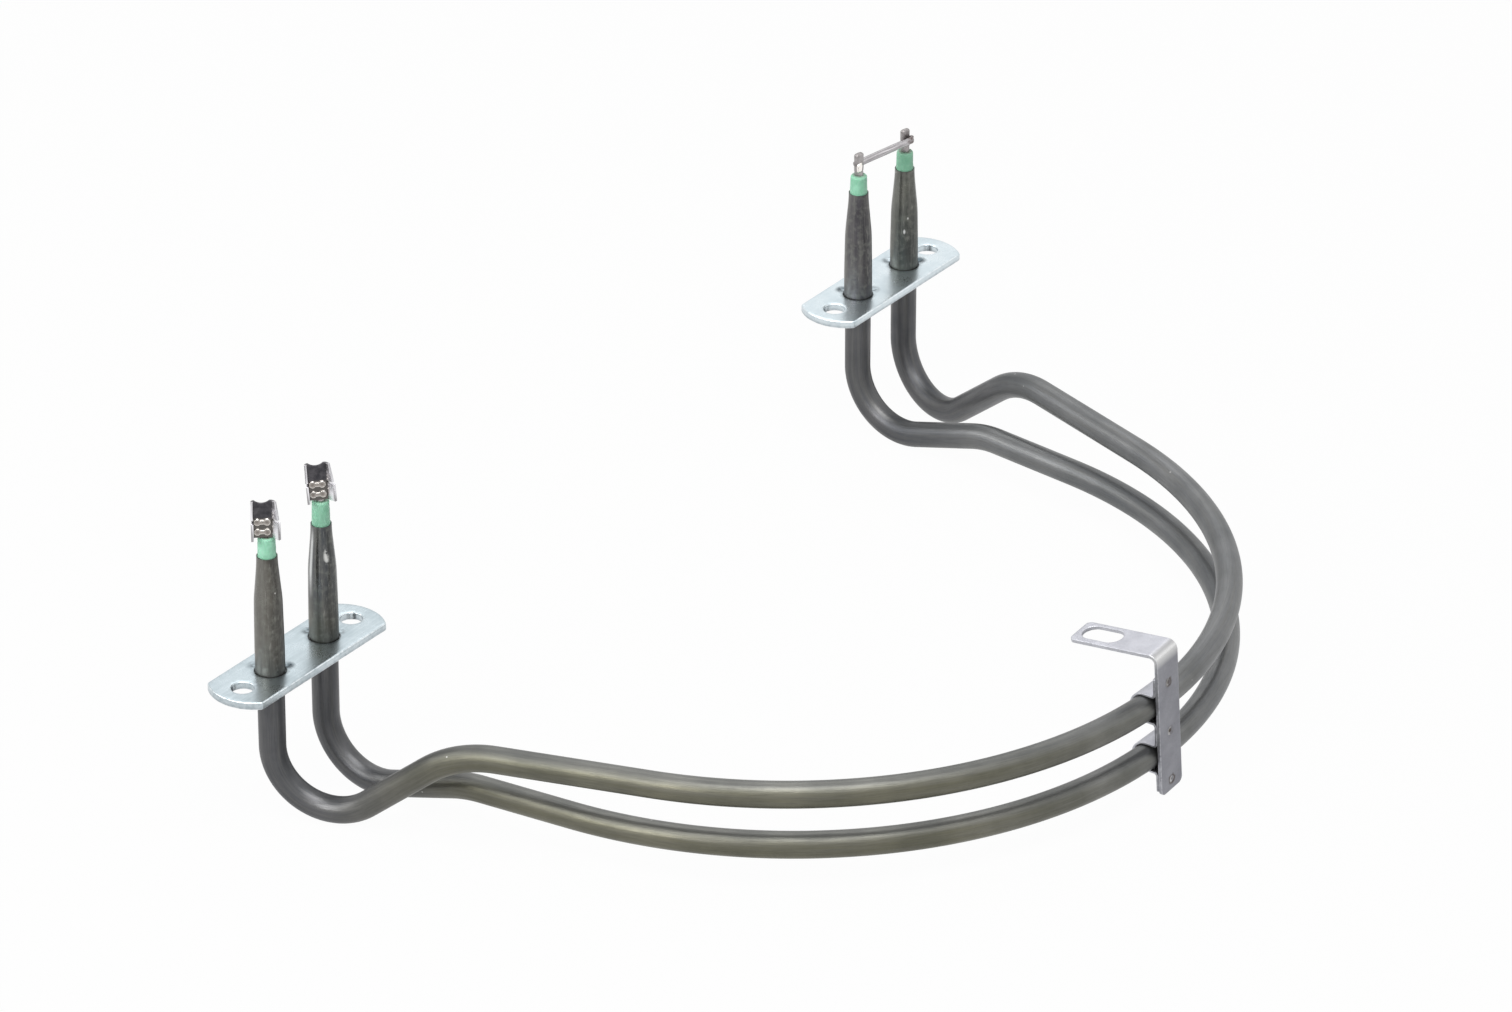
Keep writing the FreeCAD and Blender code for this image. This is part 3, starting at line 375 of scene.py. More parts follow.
def makeWireFinish():
    look = Finish("brightBridgeWire")
    flow = look.barFlow()
    lines = look.lines(flow, 180.0, 4.0, 0.4, 0.7)
    grain = look.mottle(look.place, 5000.0, 2.0, 0.3, 0.7)
    heat = look.stored("weldHeat")
    colour = look.mix(lines.mask, (0.33, 0.315, 0.325), (0.56, 0.545, 0.555))
    colour = look.mix(look.stored("pressed"), colour, (0.96, 0.92, 0.88))
    colour = look.mix(heat, colour, (0.15, 0.12, 0.115))
    rough = look.plus(look.between(lines.mask, 0.24, 0.17), look.times(heat, 0.2))
    relief = look.plus(lines.height, look.times(grain.height, 0.4))
    return look.wear(colour, rough, relief, 0.00003, 1.0)


def makeSealFinish():
    look = Finish("mintSealCompound")
    clouds = look.mottle(look.place, 420.0, 4.0, 0.35, 0.65)
    grain = look.mottle(look.place, 2600.0, 3.0, 0.3, 0.7)
    soot = look.stored("soot")
    deep = look.mix(clouds.mask, (0.185, 0.465, 0.295), (0.265, 0.575, 0.39))
    light = look.mix(clouds.mask, (0.285, 0.66, 0.45), (0.40, 0.79, 0.58))
    colour = look.mix(look.stored("pale"), deep, light)
    colour = look.mix(look.times(grain.mask, 0.15), colour, (0.42, 0.70, 0.55))
    darkening = look.times(soot, look.ramp(clouds.height, 0.35, 0.6), clamp=True)
    colour = look.mix(darkening, colour, (0.16, 0.17, 0.13))
    look.fill(look.shader, {"Subsurface Weight": 0.15, "Subsurface Radius": (0.5, 1.0, 0.7),
                            "Subsurface Scale": 0.0006})
    relief = look.plus(clouds.height, look.times(grain.height, 0.3))
    return look.wear(colour, look.between(grain.mask, 0.34, 0.5), relief, 0.00015)


def makePowderFinish():
    look = Finish("pressedPowder")
    clouds = look.mottle(look.place, 300.0, 5.0, 0.3, 0.7)
    grain = look.mottle(look.place, 4000.0, 4.0, 0.3, 0.7)
    colour = look.mix(clouds.mask, (0.66, 0.65, 0.61), (0.80, 0.79, 0.76))
    return look.wear(colour, look.between(grain.mask, 0.85, 0.95), grain.height, 0.0001)


def makeCoilFinish():
    # the CAD's plain rod gets the look of close-wound turns
    look = Finish("coilAlloy")
    wave = look.add("TexWave", {"Vector": look.place, "Scale": 260.0, "Distortion": 1.5, "Detail": 2.0},
                    bands_direction="DIAGONAL").outputs["Fac"]
    clouds = look.mottle(look.place, 500.0, 4.0, 0.3, 0.7)
    colour = look.mix(clouds.mask, (0.30, 0.29, 0.27), (0.45, 0.43, 0.40))
    return look.wear(colour, look.between(wave, 0.4, 0.55), wave, 0.0003, 0.9)


finishes = {
    "tube": makeTubeFinish(), "zinc": makeZincFinish(), "strip": makeStripFinish(), "nickel": makeNickelFinish(),
    "pin": makePinFinish(), "wire": makeWireFinish(), "seal": makeSealFinish(), "powder": makePowderFinish(),
    "coil": makeCoilFinish(),
}
print("finishes made:", len(finishes))


# Mesh helpers

def linkObject(name, data):
    item = bpy.data.objects.new(name, data)
    bpy.context.scene.collection.objects.link(item)
    return item


def applyModifiers(item, name):
    bpy.context.view_layer.update()
    result = bpy.data.meshes.new_from_object(item.evaluated_get(bpy.context.evaluated_depsgraph_get()))
    result.name = name
    item.modifiers.clear()
    item.data = result


def asMesh(bm, name):
    # a bmesh in millimetres becomes a mesh in metres
    bmesh.ops.scale(bm, vec=(mm, mm, mm), verts=bm.verts)
    mesh = bpy.data.meshes.new(name)
    bm.to_mesh(mesh)
    bm.free()
    return mesh


def smoothed(mesh, degrees):
    mesh.shade_smooth()
    mesh.set_sharp_from_angle(angle=math.radians(degrees))
    return mesh


def finishPiece(item, nodes, finish):
    item.data.materials.clear()
    item.data.materials.append(finishes[finish])
    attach(item, "root")
    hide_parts(*nodes)


def writeValues(mesh, name, values):
    attribute = mesh.attributes.get(name) or mesh.attributes.new(name, "FLOAT", "POINT")
    attribute.data.foreach_set("value", values)


def faceOutward(bm):
    bmesh.ops.recalc_face_normals(bm, faces=bm.faces)
    if bm.calc_volume(signed=True) < 0:
        bmesh.ops.reverse_faces(bm, faces=bm.faces)


def joinRings(bm, rings):
    # faces between rings of vertices; a ring that repeats one vertex is the middle of an end
    for lower, upper in zip(rings, rings[1:]):
        for index in range(len(lower)):
            after = (index + 1) % len(lower)
            corners = [lower[index], lower[after], upper[after], upper[index]]
            bm.faces.new(list(dict.fromkeys(corners)))


def withPoints(loop, longest):
    # the same loop with points added on its long straight parts
    result = []
    for index, point in enumerate(loop):
        here, after = Vector(point), Vector(loop[(index + 1) % len(loop)])
        parts = max(1, math.ceil((after - here).length / longest))
        result += [here.lerp(after, k / parts) for k in range(parts)]
    return result


def fillFlat(bm, rings, spacing):
    # fills between rings of vertices at one height with even triangles, so an attribute can fade over the face
    rim = [v for ring in rings for v in ring]
    plan = [v.co.xy for v in rim]
    edges, start = [], 0
    for ring in rings:
        edges += [(start + i, start + (i + 1) % len(ring)) for i in range(len(ring))]
        start += len(ring)

    def inside(x, y):
        hit = False
        for a, b in edges:
            (ax, ay), (bx, by) = plan[a], plan[b]
            if (ay > y) != (by > y) and x < ax + (y - ay) * (bx - ax) / (by - ay):
                hit = not hit
        return hit

    tree = KDTree(len(plan))
    for index, place in enumerate(plan):
        tree.insert(place.to_3d(), index)
    tree.balance()
    lowX, highX = min(p.x for p in plan), max(p.x for p in plan)
    lowY, highY = min(p.y for p in plan), max(p.y for p in plan)
    rowHeight, clearance = 0.87, 0.6  # parts of the spacing: an even triangle's height, and room beside the rim
    inner = []
    for row in range(int((highY - lowY) / (spacing * rowHeight)) + 1):
        y = lowY + spacing * (0.37 + rowHeight * row)
        for column in range(int((highX - lowX) / spacing) + 1):
            x = lowX + spacing * (column + (0.31 if row % 2 else 0.81))
            if tree.find((x, y, 0))[2] > clearance * spacing and inside(x, y):
                inner.append(Vector((x, y)))
    points, _, faces, origins, _, _ = delaunay_2d_cdt(plan + inner, edges, [], 1, 1e-6)
    height = rim[0].co.z
    verts = [rim[source[0]] if source and source[0] < len(rim) else bm.verts.new((point.x, point.y, height))
             for point, source in zip(points, origins)]
    for face in faces:
        middle = sum((points[i] for i in face), Vector((0, 0))) / 3
        if inside(middle.x, middle.y):
            bm.faces.new([verts[i] for i in face])


def flatBlank(loops, thickness, rounding, steps, spacing):
    # a plate cut from sheet: each loop runs with the metal on its left, and every edge is rounded
    bm = bmesh.new()
    loops = [withPoints(loop, 1.4 * spacing) for loop in loops]
    half = thickness / 2
    levels = []
    for index in range(steps + 1):
        angle = math.pi / 2 * index / steps
        levels.append((rounding * (1 - math.sin(angle)), half - rounding * (1 - math.cos(angle))))
    levels += [(inset, -height) for inset, height in reversed(levels)]
    tops, bottoms = [], []
    for loop in loops:
        count = len(loop)
        normals = []
        for index in range(count):
            before, after = loop[index] - loop[index - 1], loop[(index + 1) % count] - loop[index]
            a = Vector((-before.y, before.x)).normalized()
            b = Vector((-after.y, after.x)).normalized()
            normals.append((a + b) / max(1 + a.dot(b), 0.2))
        rings = []
        for inset, height in levels:
            ring = []
            for point, normal in zip(loop, normals):
                place = point + normal * inset
                ring.append(bm.verts.new((place.x, place.y, height)))
            rings.append(ring)
        for upper, lower in zip(rings, rings[1:]):
            for index in range(count):
                after = (index + 1) % count
                bm.faces.new((upper[index], lower[index], lower[after], upper[after]))
        tops.append(rings[0])
        bottoms.append(rings[-1])
    fillFlat(bm, tops, spacing)
    fillFlat(bm, bottoms, spacing)
    faceOutward(bm)
    return bm


def arcLoop(x, y, radius, start, end, count):
    return [(x + radius * math.cos(start + (end - start) * i / count),
             y + radius * math.sin(start + (end - start) * i / count)) for i in range(count + 1)]


def roundHole(x, diameter, count):
    return arcLoop(x, 0, diameter / 2, 2 * math.pi, 0, count)[:-1]  # clockwise: the metal is outside


def markRounding(bm):
    # 0 on the flat faces, 1 on the cut sides, read before the blank is bent
    bm.normal_update()
    layer = bm.verts.layers.float.new("edgeRound")
    for vertex in bm.verts:
        vertex[layer] = 1 - abs(vertex.normal.z)


def cutAway(item, tools):
    # takes small tool meshes out of a piece
    for tool in tools:
        modifier = item.modifiers.new("cut", "BOOLEAN")
        modifier.operation = "DIFFERENCE"
        modifier.solver = "EXACT"
        modifier.object = tool
    applyModifiers(item, item.data.name)
    for tool in tools:
        bpy.data.objects.remove(tool)


def evenShading(item):
    # weighs each normal by its faces' areas, so a flat face stays flat up to its rounded edge
    modifier = item.modifiers.new("evenShading", "WEIGHTED_NORMAL")
    modifier.keep_sharp = True
    modifier.weight = 100
    applyModifiers(item, item.data.name)


def dimpleTool(spot, outward, radius, depth, segments):
    # a ball that cuts a round dimple of this radius and depth at a spot of a face
    reach = (radius ** 2 + depth ** 2) / (2 * depth)
    bm = bmesh.new()
    bmesh.ops.create_uvsphere(bm, u_segments=segments, v_segments=segments // 2, radius=reach)
    bmesh.ops.translate(bm, vec=spot + outward * (reach - depth), verts=bm.verts)
    return linkObject("dimpleTool", asMesh(bm, "dimpleTool"))


def lathe(profile, x, segments, wobble):
    # turns (radius, height) pairs round the vertical axis at X; the last pair closes on the first
    bm = bmesh.new()
    rings = []
    for radius, height in profile:
        ring = []
        for index in range(segments):
            angle = 2 * math.pi * index / segments
            r, z = wobble(radius, height, angle)
            ring.append(bm.verts.new((x + r * math.cos(angle), r * math.sin(angle), z)))
        rings.append(ring)
    joinRings(bm, rings + rings[:1])
    faceOutward(bm)
    return bm


# The tubes' sheaths: Geometry Nodes sweep a circle along each route

tubeSizes = {
    "diameter": 6.5,
    "lowBendRadius": 14.7,
    "legBendRadius": 27.5,
    "lowBendDrop": 34.75,
    "ringReach": 162.5,
    "terminalSpan": 238.8,
    "spacing": 20.3,
    "sealBore": 4.4,
    "sealDepth": 3.5,
    "around": 56,
    "upper": {"ringRadius": 106.95, "level": -13.9, "outset": 9.45, "legRun": 44.35,
              "leftRise": 30.5, "rightRise": 27.3},
    "lower": {"ringRadius": 105.15, "level": -27.75, "outset": 2.45, "legRun": 40.4,
              "leftRise": 30.1, "rightRise": 28.6},
}


def terminalX(tube, side):
    spread = 1 if tube == "upper" else -1
    return (tubeSizes["terminalSpan"] + spread * tubeSizes["spacing"]) / 2 * (-1 if side == "left" else 1)


def sleeveRadius(height, rise):
    # the swaged end: plain tube, collar at the plate, gentle shoulder, narrow mouth
    corners = [(-5.0, 3.25), (-2.0, 3.55), (6.0, 3.55), (rise - 11.4, 3.375), (rise - 1.7, 2.5), (rise, 2.5)]
    total = 0.0
    reach = 1.5  # the mean over this far above and below eases the corners
    for step in range(-4, 5):
        z = min(height + reach * step / 4, rise)
        if z <= corners[0][0]:
            total += corners[0][1]
            continue
        for (z0, r0), (z1, r1) in zip(corners, corners[1:]):
            if z0 <= z <= z1:
                total += r0 + (r1 - r0) * (z - z0) / (z1 - z0)
                break
    return total / 9


def roundCorner(before, corner, after, radius, step):
    back = (before - corner).normalized()
    ahead = (after - corner).normalized()
    bend = math.pi - back.angle(ahead)
    reach = radius * math.tan(bend / 2)
    centre = corner + (back + ahead).normalized() * (radius / math.cos(bend / 2))
    start = corner + back * reach - centre
    axis = start.cross(corner + ahead * reach - centre).normalized()
    count = max(2, round(math.degrees(bend) / step))
    return [centre + Matrix.Rotation(bend * i / count, 3, axis) @ start for i in range(count + 1)]


def tubeRoute(tube):
    own = tubeSizes[tube]
    x = terminalX(tube, "right")
    bend = tubeSizes["lowBendRadius"]
    bendLevel = bend - tubeSizes["lowBendDrop"]
    knee = Vector((-own["ringRadius"] - own["outset"], -own["legRun"], own["level"]))
    run = math.hypot(knee.x + x, knee.y)
    climb = own["level"] - bendLevel
    slope = math.asin(bend / math.hypot(run - bend, climb)) + math.atan2(climb, run - bend)
    foot = Vector((-x, 0, bendLevel - bend * math.tan(math.pi / 4 + slope / 2)))
    centre = Vector((0, own["ringRadius"] - tubeSizes["ringReach"], own["level"]))
    gap = centre - knee
    heading = math.atan2(gap.y, gap.x) - math.asin(own["ringRadius"] / gap.length)
    straight = math.sqrt(gap.length ** 2 - own["ringRadius"] ** 2)
    joint = knee + Vector((math.cos(heading), math.sin(heading), 0)) * straight

    def half(rise):
        points = [Vector((-x, 0, rise - 0.45 * i)) for i in range(int((rise + 6) / 0.45) + 1)]
        low = roundCorner(Vector((-x, 0, rise)), foot, knee, bend, 2.5)
        high = roundCorner(foot, knee, joint, tubeSizes["legBendRadius"], 2.0)
        count = int((low[-1] - high[0]).length / 2)
        leg = [low[-1].lerp(high[0], i / count) for i in range(1, count)]
        return points + low + leg + high

    left = half(own["leftRise"])
    right = [Vector((-p.x, p.y, p.z)) for p in half(own["rightRise"])][::-1]
    first = math.atan2(joint.y - centre.y, joint.x - centre.x) % (2 * math.pi)
    last = 3 * math.pi - first
    count = 260
    ring = []
    for index in range(count + 1):
        angle = first + (last - first) * index / count
        ring.append(centre + Vector((math.cos(angle), math.sin(angle), 0)) * own["ringRadius"])
    points = left + ring + right
    kept = [points[0]]
    for point in points[1:]:
        if (point - kept[-1]).length > 0.05:
            kept.append(point)
    radii = []
    for point in kept:
        rise = own["leftRise"] if point.x < 0 else own["rightRise"]
        upright = abs(point.y) < 0.01 and abs(abs(point.x) - x) < 0.01
        radii.append(sleeveRadius(point.z, rise) if upright else tubeSizes["diameter"] / 2)
    return kept, radii


def makeSweepTree():
    # sweeps a circle along a line of edges; the line's "barRadius" gives each point's radius
    tree = bpy.data.node_groups.new("sweepRoundBar", "GeometryNodeTree")
    for label, kind in (("Line", "Geometry"), ("Around", "Int"), ("Finish", "Material")):
        tree.interface.new_socket(label, in_out="INPUT", socket_type="NodeSocket" + kind)
    tree.interface.new_socket("Bar", in_out="OUTPUT", socket_type="NodeSocketGeometry")
    put, out = tree.nodes.new("NodeGroupInput"), tree.nodes.new("NodeGroupOutput")

    def add(kind, **settings):
        node = tree.nodes.new("GeometryNode" + kind)
        for key, value in settings.items():
            setattr(node, key, value)
        return node

    join = tree.links.new
    curve = add("MeshToCurve")
    join(put.outputs["Line"], curve.inputs[0])
    length = add("SplineParameter")
    along = add("StoreNamedAttribute", data_type="FLOAT", domain="POINT")
    along.inputs["Name"].default_value = "along"
    join(curve.outputs[0], along.inputs[0])
    join(length.outputs["Length"], along.inputs["Value"])
    circle = add("CurvePrimitiveCircle")
    circle.inputs["Radius"].default_value = 1.0
    join(put.outputs["Around"], circle.inputs["Resolution"])
    section = add("StoreNamedAttribute", data_type="FLOAT_VECTOR", domain="POINT")
    section.inputs["Name"].default_value = "section"
    place = tree.nodes.new("GeometryNodeInputPosition")
    join(circle.outputs[0], section.inputs[0])
    join(place.outputs[0], section.inputs["Value"])
    radius = add("InputNamedAttribute", data_type="FLOAT")
    radius.inputs["Name"].default_value = "barRadius"
    sweep = add("CurveToMesh")
    join(along.outputs[0], sweep.inputs["Curve"])
    join(section.outputs[0], sweep.inputs["Profile Curve"])
    join(radius.outputs[0], sweep.inputs["Scale"])
    smooth = add("SetShadeSmooth")
    real = add("RealizeInstances")
    finish = add("SetMaterial")
    join(sweep.outputs[0], smooth.inputs[0])
    join(smooth.outputs[0], real.inputs[0])
    join(real.outputs[0], finish.inputs["Geometry"])
    join(put.outputs["Finish"], finish.inputs["Material"])
    join(finish.outputs[0], out.inputs[0])
    return tree


sweepTree = makeSweepTree()


def socketName(tree, label):
    return next(s.identifier for s in tree.interface.items_tree if s.name == label and s.in_out == "INPUT")


def sweptBar(name, points, radii, around, finish):
    line = bpy.data.meshes.new(name + "Line")
    line.from_pydata([p * mm for p in points], [(i, i + 1) for i in range(len(points) - 1)], [])
    writeValues(line, "barRadius", [r * mm for r in radii])
    item = linkObject(name, line)
    modifier = item.modifiers.new("sweep", "NODES")
    modifier.node_group = sweepTree
    modifier[socketName(sweepTree, "Around")] = around
    modifier[socketName(sweepTree, "Finish")] = finishes[finish]
    applyModifiers(item, name)
    return item


def closeEnds(item, lips):
    # each open end gets rings at (radius, distance outward along the end's axis) and is closed
    bm = bmesh.new()
    bm.from_mesh(item.data)
    along = bm.verts.layers.float.get("along")
    section = bm.verts.layers.float_vector.get("section")
    left = [e for e in bm.edges if e.is_boundary]
    loops = []
    while left:
        loop = list(left.pop(0).verts)
        while True:
            step = next(e for e in loop[-1].link_edges if e in left)
            left.remove(step)
            if step.other_vert(loop[-1]) is loop[0]:
                break
            loop.append(step.other_vert(loop[-1]))
        loops.append(loop)
    for loop in loops:
        centre = sum((v.co for v in loop), Vector()) / len(loop)
        inner = next(e.other_vert(loop[0]) for e in loop[0].link_edges if not e.is_boundary)
        outward = (loop[0].co - loop[1].co).cross(loop[0].co - centre).normalized()
        if outward.dot(loop[0].co - inner.co) < 0:
            outward.negate()
        rings = [loop]
        for radius, push in lips:
            ring = []
            for source in loop:
                vertex = bm.verts.new(centre + (source.co - centre).normalized() * radius * mm + outward * push * mm)
                vertex[along] = source[along] + push * mm
                vertex[section] = source[section] * (radius / 3)
                ring.append(vertex)
            rings.append(ring)
        joinRings(bm, rings)
        bm.faces.new(rings[-1])
    faceOutward(bm)
    bm.to_mesh(item.data)
    bm.free()


for tube in ("upper", "lower"):
    points, radii = tubeRoute(tube)
    sheath = sweptBar(tube + "TubeSheath", points, radii, tubeSizes["around"], "tube")
    bore = tubeSizes["sealBore"] / 2
    closeEnds(sheath, [(2.46, 0.0), (2.36, 0.0), (bore + 0.05, -0.03), (bore, -0.12), (bore, -tubeSizes["sealDepth"])])
    # painted light and shade: the terminals are painted lighter on the side that faces back and left, and painted
    # darker on the other
    aside = Vector((-0.583, 0.8125, 0))
    writeValues(sheath.data, "paintedSideLight", [0.5 + 0.5 * v.normal.dot(aside) for v in sheath.data.vertices])
    writeValues(sheath.data, "upward", [v.normal.z for v in sheath.data.vertices])
    smoothed(sheath.data, 50)
    finishPiece(sheath, [tube + "_sheath"], "tube")
print("tube sheaths swept")


# Seals: mint green beads with a soft, slightly uneven rim

sealSizes = {
    "outer": 2.2, "top": 2.1, "inner": 1.1, "depth": 3.5, "rim": 0.5, "unevenness": 0.07,
    "upperleft": 5.2, "lowerleft": 6.25, "upperright": 4.8, "lowerright": 4.8,  # height above each tube's end
    # how pale each seal's colour is
    "paleness": {"upperleft": 0.9, "lowerleft": 0.6, "upperright": 0.2, "lowerright": 0.75},
}


def makeSeal(tube, side):
    rise = tubeSizes[tube][side + "Rise"]
    x = terminalX(tube, side)
    outer, inner = sealSizes["outer"], sealSizes["inner"]
    top, low = rise + sealSizes[tube + side], rise - sealSizes["depth"]
    rim = sealSizes["rim"]
    narrow = sealSizes["top"]
    profile = [(inner, low), (outer, low), (outer, rise - 0.1), (outer, rise + 0.3)]
    profile += [(outer + (narrow - outer) * i / 8, rise + 0.3 + (top - rim - rise - 0.3) * i / 8) for i in range(1, 9)]
    profile += [(narrow - rim * (1 - math.cos(a)), top - rim * (1 - math.sin(a)))
                for a in (math.radians(15 * i) for i in range(1, 7))]
    profile += [(1.5, top - 0.03), (1.3, top - 0.04), (1.18, top - 0.01), (inner, top)]
    seed = x * 3.1 + rise

    def wobble(radius, height, angle):
        if height <= rise + 0.3 or radius < 1.25:
            return radius, height
        n = noise.noise(Vector((math.cos(angle) * 1.3 + seed, math.sin(angle) * 1.3, height * 0.5)))
        return radius - abs(n) * sealSizes["unevenness"], height - abs(n) * 1.5 * sealSizes["unevenness"]

    mesh = asMesh(lathe(profile, x, 56, wobble), f"{tube}{side.title()}Seal")
    soot = []
    for vertex in mesh.vertices:
        radius = math.hypot(vertex.co.x / mm - x, vertex.co.y / mm)
        nearTop = max(0.0, 1 - (top - vertex.co.z / mm) / 0.5)
        soot.append(nearTop * max(0.0, min(1.0, (2.1 - radius) / 0.8)))
    writeValues(mesh, "soot", soot)
    writeValues(mesh, "pale", [sealSizes["paleness"][tube + side]] * len(mesh.vertices))
    item = linkObject(mesh.name, smoothed(mesh, 60))
    finishPiece(item, [f"{tube}_{side}_seal"], "seal")


for tube in ("upper", "lower"):
    for side in ("left", "right"):
        makeSeal(tube, side)
print("seals turned")


# Pins: round bars whose tips are squeezed flat

pinSizes = {
    "radius": 1.1, "depth": 14.0, "projection": 10.8, "flatWidth": 2.5, "flatThickness": 1.5, "flatGap": 0.8,
    "clipTurn": 50.0, "bridgeTurn": 9.47,
    "upperClipBase": 0.2, "lowerClipBase": 0.8,  # seal's top up to each clip and its pin's flat
}


def superellipse(a, b, power, count):
    points = []
    for index in range(count):
        angle = 2 * math.pi * index / count
        c, s = math.cos(angle), math.sin(angle)
        points.append((a * math.copysign(abs(c) ** (2 / power), c), b * math.copysign(abs(s) ** (2 / power), s)))
    return points


def makePin(tube, side):
    rise = tubeSizes[tube][side + "Rise"]
    x = terminalX(tube, side)
    turn = -math.radians(pinSizes["clipTurn"] if side == "left" else pinSizes["bridgeTurn"])
    r = pinSizes["radius"]
    gap = pinSizes[tube + "ClipBase"] if side == "left" else pinSizes["flatGap"]
    flat = rise + sealSizes[tube + side] + gap
    tip = rise + pinSizes["projection"]
    a, b = pinSizes["flatWidth"] / 2, pinSizes["flatThickness"] / 2
    start = flat - 0.5 if side == "left" else flat  # a clip needs the full flat behind it
    stations = [(-pinSizes["depth"], 0.0, 0.0, 2.0), (-pinSizes["depth"], r, r, 2.0), (start - 0.7, r, r, 2.0),
                (start - 0.35, r, r * 0.98, 2.1), (start, r * 1.03, r * 0.9, 2.4),
                (start + 0.3, a * 0.95, b, 3.0), (start + 0.6, a, b, 3.6)]
    steps = 6
    for i in range(1, steps + 1):
        z = flat + 0.8 + (tip - 0.5 - flat - 0.8) * i / steps
        stations.append((z, a, b, 3.8))
    for i in range(1, 6):
        angle = math.pi / 2 * i / 5
        cut = 0.45 * (1 - math.cos(angle))
        stations.append((tip - 0.5 + 0.5 * math.sin(angle), a - cut, b - cut, 3.4))
    stations.append((tip, 0.0, 0.0, 3.4))
    bm = bmesh.new()
    count = 48
    spin = Matrix.Rotation(turn, 3, "Z")
    rings = []
    for z, wide, thick, power in stations:
        if not wide:
            rings.append([bm.verts.new((x, 0, z))] * count)  # the middle of an end is one vertex
            continue
        ring = []
        for px, py in superellipse(wide, thick, power, count):
            n = noise.noise(Vector((px * 1.4 + x, py * 1.4, z * 0.9))) * (0.035 if z > flat else 0.0)
            ring.append(bm.verts.new(Vector((x, 0, 0)) + spin @ Vector((px * (1 + n), py * (1 + n), z))))
        rings.append(ring)
    joinRings(bm, rings)
    faceOutward(bm)
    mesh = asMesh(bm, f"{tube}{side.title()}Pin")
    item = linkObject(mesh.name, smoothed(mesh, 50))
    finishPiece(item, [f"{tube}_{side}_pin"], "pin")


for tube in ("upper", "lower"):
    for side in ("left", "right"):
        makePin(tube, side)
print("pins formed")


# Bridge wire, squeezed flat where it is welded over the outer pin, and the weld marks

bridgeSizes = {
    "diameter": 1.8, "level": 35.5, "innerOver": -0.45, "outerOver": 0.9, "turn": 9.47, "endRound": 0.25,
    "nugget": (0.9, 0.42, 1.4), "nuggetPlace": (-0.35, 0.2),  # along the wire and up, on the inner pin's front
}


def makeBridge():
    turn = math.radians(bridgeSizes["turn"])
    half = tubeSizes["spacing"] * math.cos(turn) / 2
    heading = Vector((math.cos(turn), -math.sin(turn), 0))
    centre = Vector((tubeSizes["terminalSpan"] / 2, 0, bridgeSizes["level"]))
    start, end = -half - bridgeSizes["innerOver"], half + bridgeSizes["outerOver"]
    radius, soft = bridgeSizes["diameter"] / 2, bridgeSizes["endRound"]
    stations = [(start + soft * (1 - math.cos(a)), radius - soft * (1 - math.sin(a)))
                for a in (math.pi / 2 * i / 4 for i in range(5))]
    inner = 60
    for index in range(1, inner):
        stations.append((start + soft + (end - start - 2 * soft) * index / inner, radius))
    stations += [(end - (s - start), r) for s, r in reversed(stations[:5])]
    points = [centre + heading * s for s, r in stations]
    wire = sweptBar("bridgeWire", points, [r for s, r in stations], 40, "wire")
    closeEnds(wire, [(0.3, 0.0)])
    side = Vector((math.sin(turn), math.cos(turn), 0))
    heat = []
    for vertex in wire.data.vertices:
        place = vertex.co / mm - centre
        s, across = place.dot(heading), place.dot(side)
        squeeze = max(0.0, 1 - abs(s - half) / 1.3)  # the electrode flattens the front over the outer pin
        if across < -0.55:
            vertex.co -= side * (across + 0.55) * 0.55 * min(1.0, squeeze * 2) * mm
        n = noise.noise(place * 1.6)
        burnt = max(0.0, 1 - abs(abs(s) - half) / 2.0)
        heat.append(max(0.0, min(1.0, burnt * 1.3 + n * 0.9 - 0.35)))
    writeValues(wire.data, "weldHeat", heat)
    smoothed(wire.data, 50)

    # a pressed nugget on the inner pin's front, and small beads of spilt metal at both welds
    bm = bmesh.new()
    across = pinSizes["flatThickness"] / 2 + bridgeSizes["diameter"] / 2
    aside, up = bridgeSizes["nuggetPlace"]
    blobs = [(Vector((-half + aside, -across - 0.62, up)), bridgeSizes["nugget"], 0),
             (Vector((-half + 1.2, -0.25, 0.75)), (0.5, 0.5, 0.4), 1),
             (Vector((half + 0.95, 0.35, 0.55)), (0.6, 0.55, 0.42), 1),
             (Vector((half - 1.0, 0.75, -0.5)), (0.4, 0.35, 0.35), 1)]
    layer, bright = bm.verts.layers.float.new("weldHeat"), bm.verts.layers.float.new("pressed")
    for offset, reach, burnt in blobs:
        before = len(bm.verts)
        bmesh.ops.create_icosphere(bm, subdivisions=4, radius=1.0)
        bm.verts.ensure_lookup_table()
        for vertex in bm.verts[before:]:
            n = 1 + 0.12 * noise.noise(vertex.co * 1.7 + offset)
            power = 0.8  # squarer than a ball, like metal that an electrode pressed
            local = [math.copysign(abs(c) ** power, c) * r for c, r in zip(vertex.co, reach)]
            local = Vector(local) * n + offset
            vertex[layer] = 0.75 * burnt
            vertex[bright] = 1.0 - burnt
            vertex.co = centre + heading * local.x + side * local.y + Vector((0, 0, local.z))
    mesh = asMesh(bm, "bridgeWelds")
    welds = linkObject("bridgeWelds", smoothed(mesh, 70))
    finishPiece(wire, ["bridge_wire"], "wire")
    finishPiece(welds, ["bridge_wire"], "wire")


makeBridge()
print("bridge wire laid")


# Flange plates, cut from thick sheet, with punch marks beside each tube

plateSizes = {
    "thickness": 2.0, "width": 16.4, "sideLength": 46.8, "endRadius": 11.6, "cornerRadius": 1.0, "edgeRound": 0.35,
    "tubeHole": 7.4, "screwHole": 5.4, "screwSpacing": 41.0,
    "punchCircle": 4.45, "punchAngles": (-24, 96), "punchRadius": 1.0, "punchDepth": 0.3,
}


